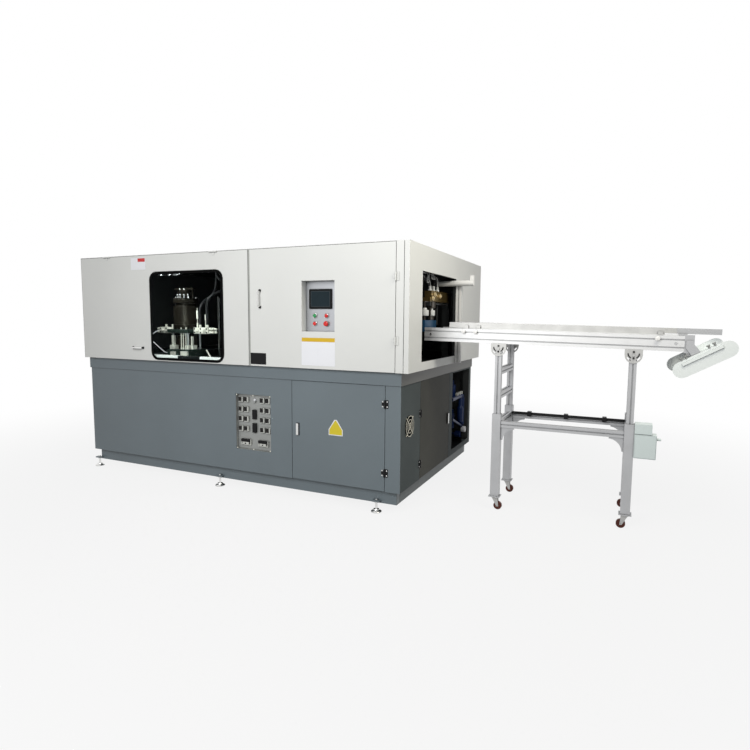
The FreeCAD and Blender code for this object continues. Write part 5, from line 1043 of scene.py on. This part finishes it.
def air_bay():
    """Front pipes, fittings and drain cap of the air unit, and a dark tray under them as painted shade on the
    bay's floor.
    """
    corner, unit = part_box("base_frame")[1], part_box("air_system")[1]
    x, back, tray_low = unit.x + 0.010, unit.y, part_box("side_door")[0].z + 0.0035
    # dark sheet on the bay's floor: painted shade
    tray = block((x - 0.20, 1.310, tray_low), (corner.x - 0.0625, corner.y - 0.0025, tray_low + 0.002))
    fit("bay_tray", [tray], "inner_dark")
    bowl = [(0, 0.028), (0.14, 0.032), (0.16, 0.018), (0.25, 0.018)]
    blue = [rod([(x, 1.39, 0.66), (x, back - 0.01, 0.66), (x, back - 0.01, 0.36)], 0.020, 0.045, 16),
            rod([(x, 1.42, 0.47), (x, back - 0.03, 0.35)], 0.013)]
    fit("bay_pipes", blue + turned(UP, bowl, [(x, back - 0.09, 0.40)], 24), "air_blue")
    bright = [block((x - 0.012, y, 0.676), (x + 0.012, y + 0.030, 0.706), 0.003, 1)
              for y in (1.56, 1.64, 1.71)]
    fit("bay_valves", bright, "socket_plastic")
    cap = [(0, 0.030), (0.036, 0.030), (0.040, 0.026)]
    fit("bay_cap", turned(RIGHT, cap, [(x, back - 0.02, 0.315)], 28, 0.001), "sheet_white")


def rail_z(x):
    """Height of the front rail's centre line."""
    return RAIL_HEIGHT - (x - RAIL_START) * math.tan(RAIL_FALL)


def conveyor_bolts():
    """Dark bolts on the pivot brackets, black arcs as painted shade of their slots, and round knobs on the
    guide clamps.
    """
    legs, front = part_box("stand_frame"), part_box("conveyor_fittings")[0].y + 0.003
    leg, radius = 0.0225, 0.034
    bolts, slots = [], []
    for x in (legs[0].x + leg, legs[1].x - leg):
        z = rail_z(x) - 0.087
        bolts += [(x, front, z + 0.022), (x, front, z - 0.020)]
        # black arcs along the slots: painted shade in them
        for side in (-radius, radius):
            arc = [(x + side * math.cos(turn), front, z + 0.012 - radius * math.sin(turn))
                   for turn in (math.radians(12 * step) for step in range(6))]
            slots.append(rod(arc, 0.0035, 0.0, 8))
    bolt, knob = stack((0.004, 0.0065)) + [(0.006, 0.004)], stack((0.014, 0.006), (0.022, 0.015))
    fit("bracket_bolts", turned(FRONT, bolt, bolts, 16) + slots, "black_tube")
    front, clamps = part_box("conveyor_rails")[0].y, [RAIL_START + along for along in (0.310, 0.400, 1.600)]
    knobs = turned(FRONT, knob, [(x, front, rail_z(x) + 0.03) for x in clamps], 20, 0.001)
    fit("guide_knobs", knobs, "arm_white")


def deck_clips():
    """Clamps along the upper edge of the end deck's front cheek."""
    low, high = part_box("end_deck")
    centre = Vector(((low.x + high.x) / 2, low.y + 0.012, (low.z + high.z) / 2))
    cosine, sine = math.cos(DECK_TILT), math.sin(DECK_TILT)
    along, up = Vector((cosine, 0, sine)), Vector((-sine, 0, cosine))
    places = [centre + along * step + up * 0.052 for step in (-0.115, -0.085, 0.055, 0.090)]
    clips = turned(up, stack((0.014, 0.007), (0.022, 0.011)), places, 16)
    fit("deck_clips", clips, "socket_grey", "tilting_deck")


class MOULDER_OT_trim(bpy.types.Operator):
    """Hinge screws, handle feet, seam, skirt ends, air bay, and the conveyor's bolts, knobs and clips"""
    bl_idname = "moulder.trim"
    bl_label = "Trim"

    def execute(self, context):
        hinge_screws(context.scene.moulder_sizes.screw)
        for make in (handle_feet, door_seam, skirt_ends, air_bay, conveyor_bolts, deck_clips):
            make()
        return {"FINISHED"}


# ---------------------------------------------------------------- signs
# name, finish, sheets that it lies over and its thickness in sheets, low corner, high corner, body
PLATES = (("instruction_sheet", "sheet_white", 0, 1, (-0.602, 1.066), (-0.315, 1.273), "operator_door"),
          ("instruction_band", "band_gold", 1, 0.5, (-0.600, 1.244), (-0.317, 1.273), "operator_door"),
          ("instruction_field_0", "sheet_white", 1, 0.25, (-0.590, 1.078), (-0.462, 1.232), "operator_door"),
          ("instruction_field_1", "sheet_white", 1, 0.25, (-0.447, 1.078), (-0.319, 1.232), "operator_door"),
          ("black_plate", "plate_black", 0, 2, (-1.073, 1.055), (-0.927, 1.144), "operator_door"),
          ("corner_label", "sheet_white", 0, 1, (-2.345, 1.825), (-2.172, 1.927), "guard"),
          ("corner_label_band", "sign_red", 1, 0.5, (-2.262, 1.892), (-2.178, 1.922), "guard"))
TRIANGLE = ((-0.054, -0.034), (0.054, -0.034), (0.054, 0.004), (0.005, 0.0735), (-0.005, 0.0735),
            (-0.054, 0.004))
TIP = 0.05               # points of the triangle above this belong to its tip


def triangle(name, look, centre, grow, thick):
    """Bare sign: a triangle standing on a strip, grown on all sides for its border."""
    deselect()
    bpy.ops.mesh.primitive_plane_add(size=1, location=centre, rotation=(math.pi / 2, 0, 0))
    piece = seat(started(name))
    mesh = bmesh.new()
    outline = [(x + math.copysign(grow, x), z + (grow if z > TIP else -grow if z < 0 else 0))
               for x, z in TRIANGLE]
    mesh.faces.new([mesh.verts.new(at(centre, x, 0, z)) for x, z in outline])
    mesh.to_mesh(piece.data)
    mesh.free()
    only(piece)
    bpy.ops.object.mode_set(mode="EDIT")
    bpy.ops.mesh.select_all(action="SELECT")
    bpy.ops.mesh.extrude_region_move(TRANSFORM_OT_translate={"value": (0, -thick, 0)})
    close_mesh(1e-6)
    fit(name, [piece], look, "electrical_door")


class MOULDER_OT_signs(bpy.types.Operator):
    """Bare plates and sheets: door sign, instruction sheet, corner label and black plate"""
    bl_idname = "moulder.signs"
    bl_label = "Bare signs"

    def execute(self, context):
        sheet = context.scene.moulder_sizes.sheet
        for name, look, under, sheets, low, high, body in PLATES:
            back, thick = front_face() - under * sheet, sheets * sheet
            plate = block((low[0], back - thick, low[1]), (high[0], back, high[1]), thick / 4, 1)
            fit(name, [plate], look, body)
        centre = Vector((-0.331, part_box("power_door")[0].y, 0.5825))
        triangle("door_sign_border", "sheet_white", centre, 0.006, sheet / 2)
        triangle("door_sign", "sign_yellow", at(centre, 0, -sheet / 2, 0), 0.0, sheet / 2)
        return {"FINISHED"}


# ---------------------------------------------------------------- studio
YAW, PITCH, ROLL = 0.4297, 0.1012, 0.0078
SENSOR, LENS = 36.0, 26.14
CAMERA = (1.6096, -3.5559, 1.4107)


def seen(tree):
    """One where the camera, a mirror or a pane looks straight at the surface."""
    path = add(tree, "LightPath").outputs
    some = maths(tree, "MAXIMUM", path["Is Camera Ray"], path["Is Glossy Ray"])
    return maths(tree, "MAXIMUM", some, path["Is Transmission Ray"])


def make_floor():
    """Grey floor that glows white where it is seen, the more the further from the machine."""
    deselect()
    bpy.ops.mesh.primitive_grid_add(x_subdivisions=2, y_subdivisions=2, size=60, location=(0, 0, -0.0005))
    floor = seat(started("floor"))
    material, tree, shader = start_material("floor_white")
    feed(tree, shader.inputs, {"Base Color": (0.35, 0.35, 0.35, 1), "Roughness": 0.9})
    glow = add(tree, "Emission", {"Strength": 1.0}).outputs[0]
    away = add(tree, "VectorMath", {0: object_point(tree), 1: (-0.6, 0.6, 0)}, operation="DISTANCE")
    far = ramp(tree, away.outputs["Value"], 2.0, 6.5, 0.86, 1.0, "SMOOTHSTEP")
    share = maths(tree, "MULTIPLY", far, seen(tree))
    both = add(tree, "MixShader", {0: share, 1: shader.outputs[0], 2: glow}).outputs[0]
    tree.links.new(both, tree.nodes["Material Output"].inputs["Surface"])
    floor.data.materials.append(material)


def make_world(strength):
    """Surroundings that are white where seen, and light the machine less."""
    world = bpy.data.worlds.new("studio")
    world.use_nodes = True
    tree = world.node_tree
    level = ramp(tree, seen(tree), 0.0, 1.0, strength, 1.0)
    feed(tree, tree.nodes["Background"].inputs, {"Color": (1, 1, 1, 1), "Strength": level})
    bpy.context.scene.world = world


def make_lamp(name, place, target, size, energy, tone=(1.0, 1.0, 1.0)):
    deselect()
    bpy.ops.object.light_add(type="AREA", location=place)
    lamp = bpy.context.object
    lamp.name = name
    lamp.data.size, lamp.data.energy, lamp.data.color = size, energy, tone
    lamp.rotation_euler = (Vector(target) - Vector(place)).to_track_quat("-Z", "Y").to_euler()


def make_camera():
    """Camera turned down from level by the pitch, to the left by the yaw, and rolled about its own axis."""
    deselect()
    bpy.ops.object.camera_add()
    camera = bpy.context.object
    camera.name = "photo_view"
    camera.data.sensor_width, camera.data.lens = SENSOR, LENS
    down = Matrix.Rotation(math.pi / 2 - PITCH, 4, "X")
    turn = Matrix.Rotation(YAW, 4, "Z") @ down @ Matrix.Rotation(ROLL, 4, "Z")
    camera.matrix_world = Matrix.Translation(CAMERA) @ turn
    bpy.context.scene.camera = camera


class MOULDER_OT_stage(bpy.types.Operator):
    """Pale floor, white surroundings, lamps and the camera"""
    bl_idname = "moulder.stage"
    bl_label = "Studio"

    def execute(self, context):
        studio = context.scene.moulder_studio
        make_floor()
        make_world(studio.sky)
        make_lamp("key", (-0.5, -3.5, 2.9), (-0.8, 0.3, 1.3), 2.0, studio.key)
        make_lamp("fill", (1.95, -0.35, 2.9), (0.26, 0.4, 1.6), 0.9, studio.fill, (1.0, 0.965, 0.86))
        make_lamp("inside", (-2.30, 0.20, 1.86), (-2.30, 0.45, 1.20), 0.2, studio.inside)
        make_camera()
        context.scene.view_settings.view_transform = "Standard"
        return {"FINISHED"}


# ---------------------------------------------------------------- add-on
class MOULDER_PT_panel(bpy.types.Panel):
    """Steps that dress the machine"""
    bl_idname = "MOULDER_PT_panel"
    bl_label = "Blow moulding machine"
    bl_space_type = "VIEW_3D"
    bl_region_type = "UI"
    bl_category = "Moulder"

    def draw(self, context):
        for title in SETTINGS:
            settings = getattr(context.scene, title)
            for field in settings.bl_rna.properties.keys():
                if field not in ("rna_type", "name"):
                    self.layout.prop(settings, field)
        for step in STEPS:
            self.layout.operator(step.bl_idname)


STEPS = (MOULDER_OT_finishes, MOULDER_OT_feet, MOULDER_OT_controls, MOULDER_OT_station, MOULDER_OT_sockets,
         MOULDER_OT_take_out, MOULDER_OT_trim, MOULDER_OT_signs, MOULDER_OT_stage)
SETTINGS = {"moulder_colours": MoulderColours, "moulder_sizes": MoulderSizes, "moulder_studio": MoulderStudio}


def register():
    for item in (*SETTINGS.values(), *STEPS, MOULDER_PT_panel):
        bpy.utils.register_class(item)
    for title, settings in SETTINGS.items():
        setattr(bpy.types.Scene, title, PointerProperty(type=settings))


def unregister():
    for title in SETTINGS:
        delattr(bpy.types.Scene, title)
    for item in (MOULDER_PT_panel, *reversed(STEPS), *SETTINGS.values()):
        bpy.utils.unregister_class(item)


def main():
    register()
    for step in STEPS:
        group, name = step.bl_idname.split(".")
        getattr(getattr(bpy.ops, group), name)()


if __name__ == "__main__":
    main()
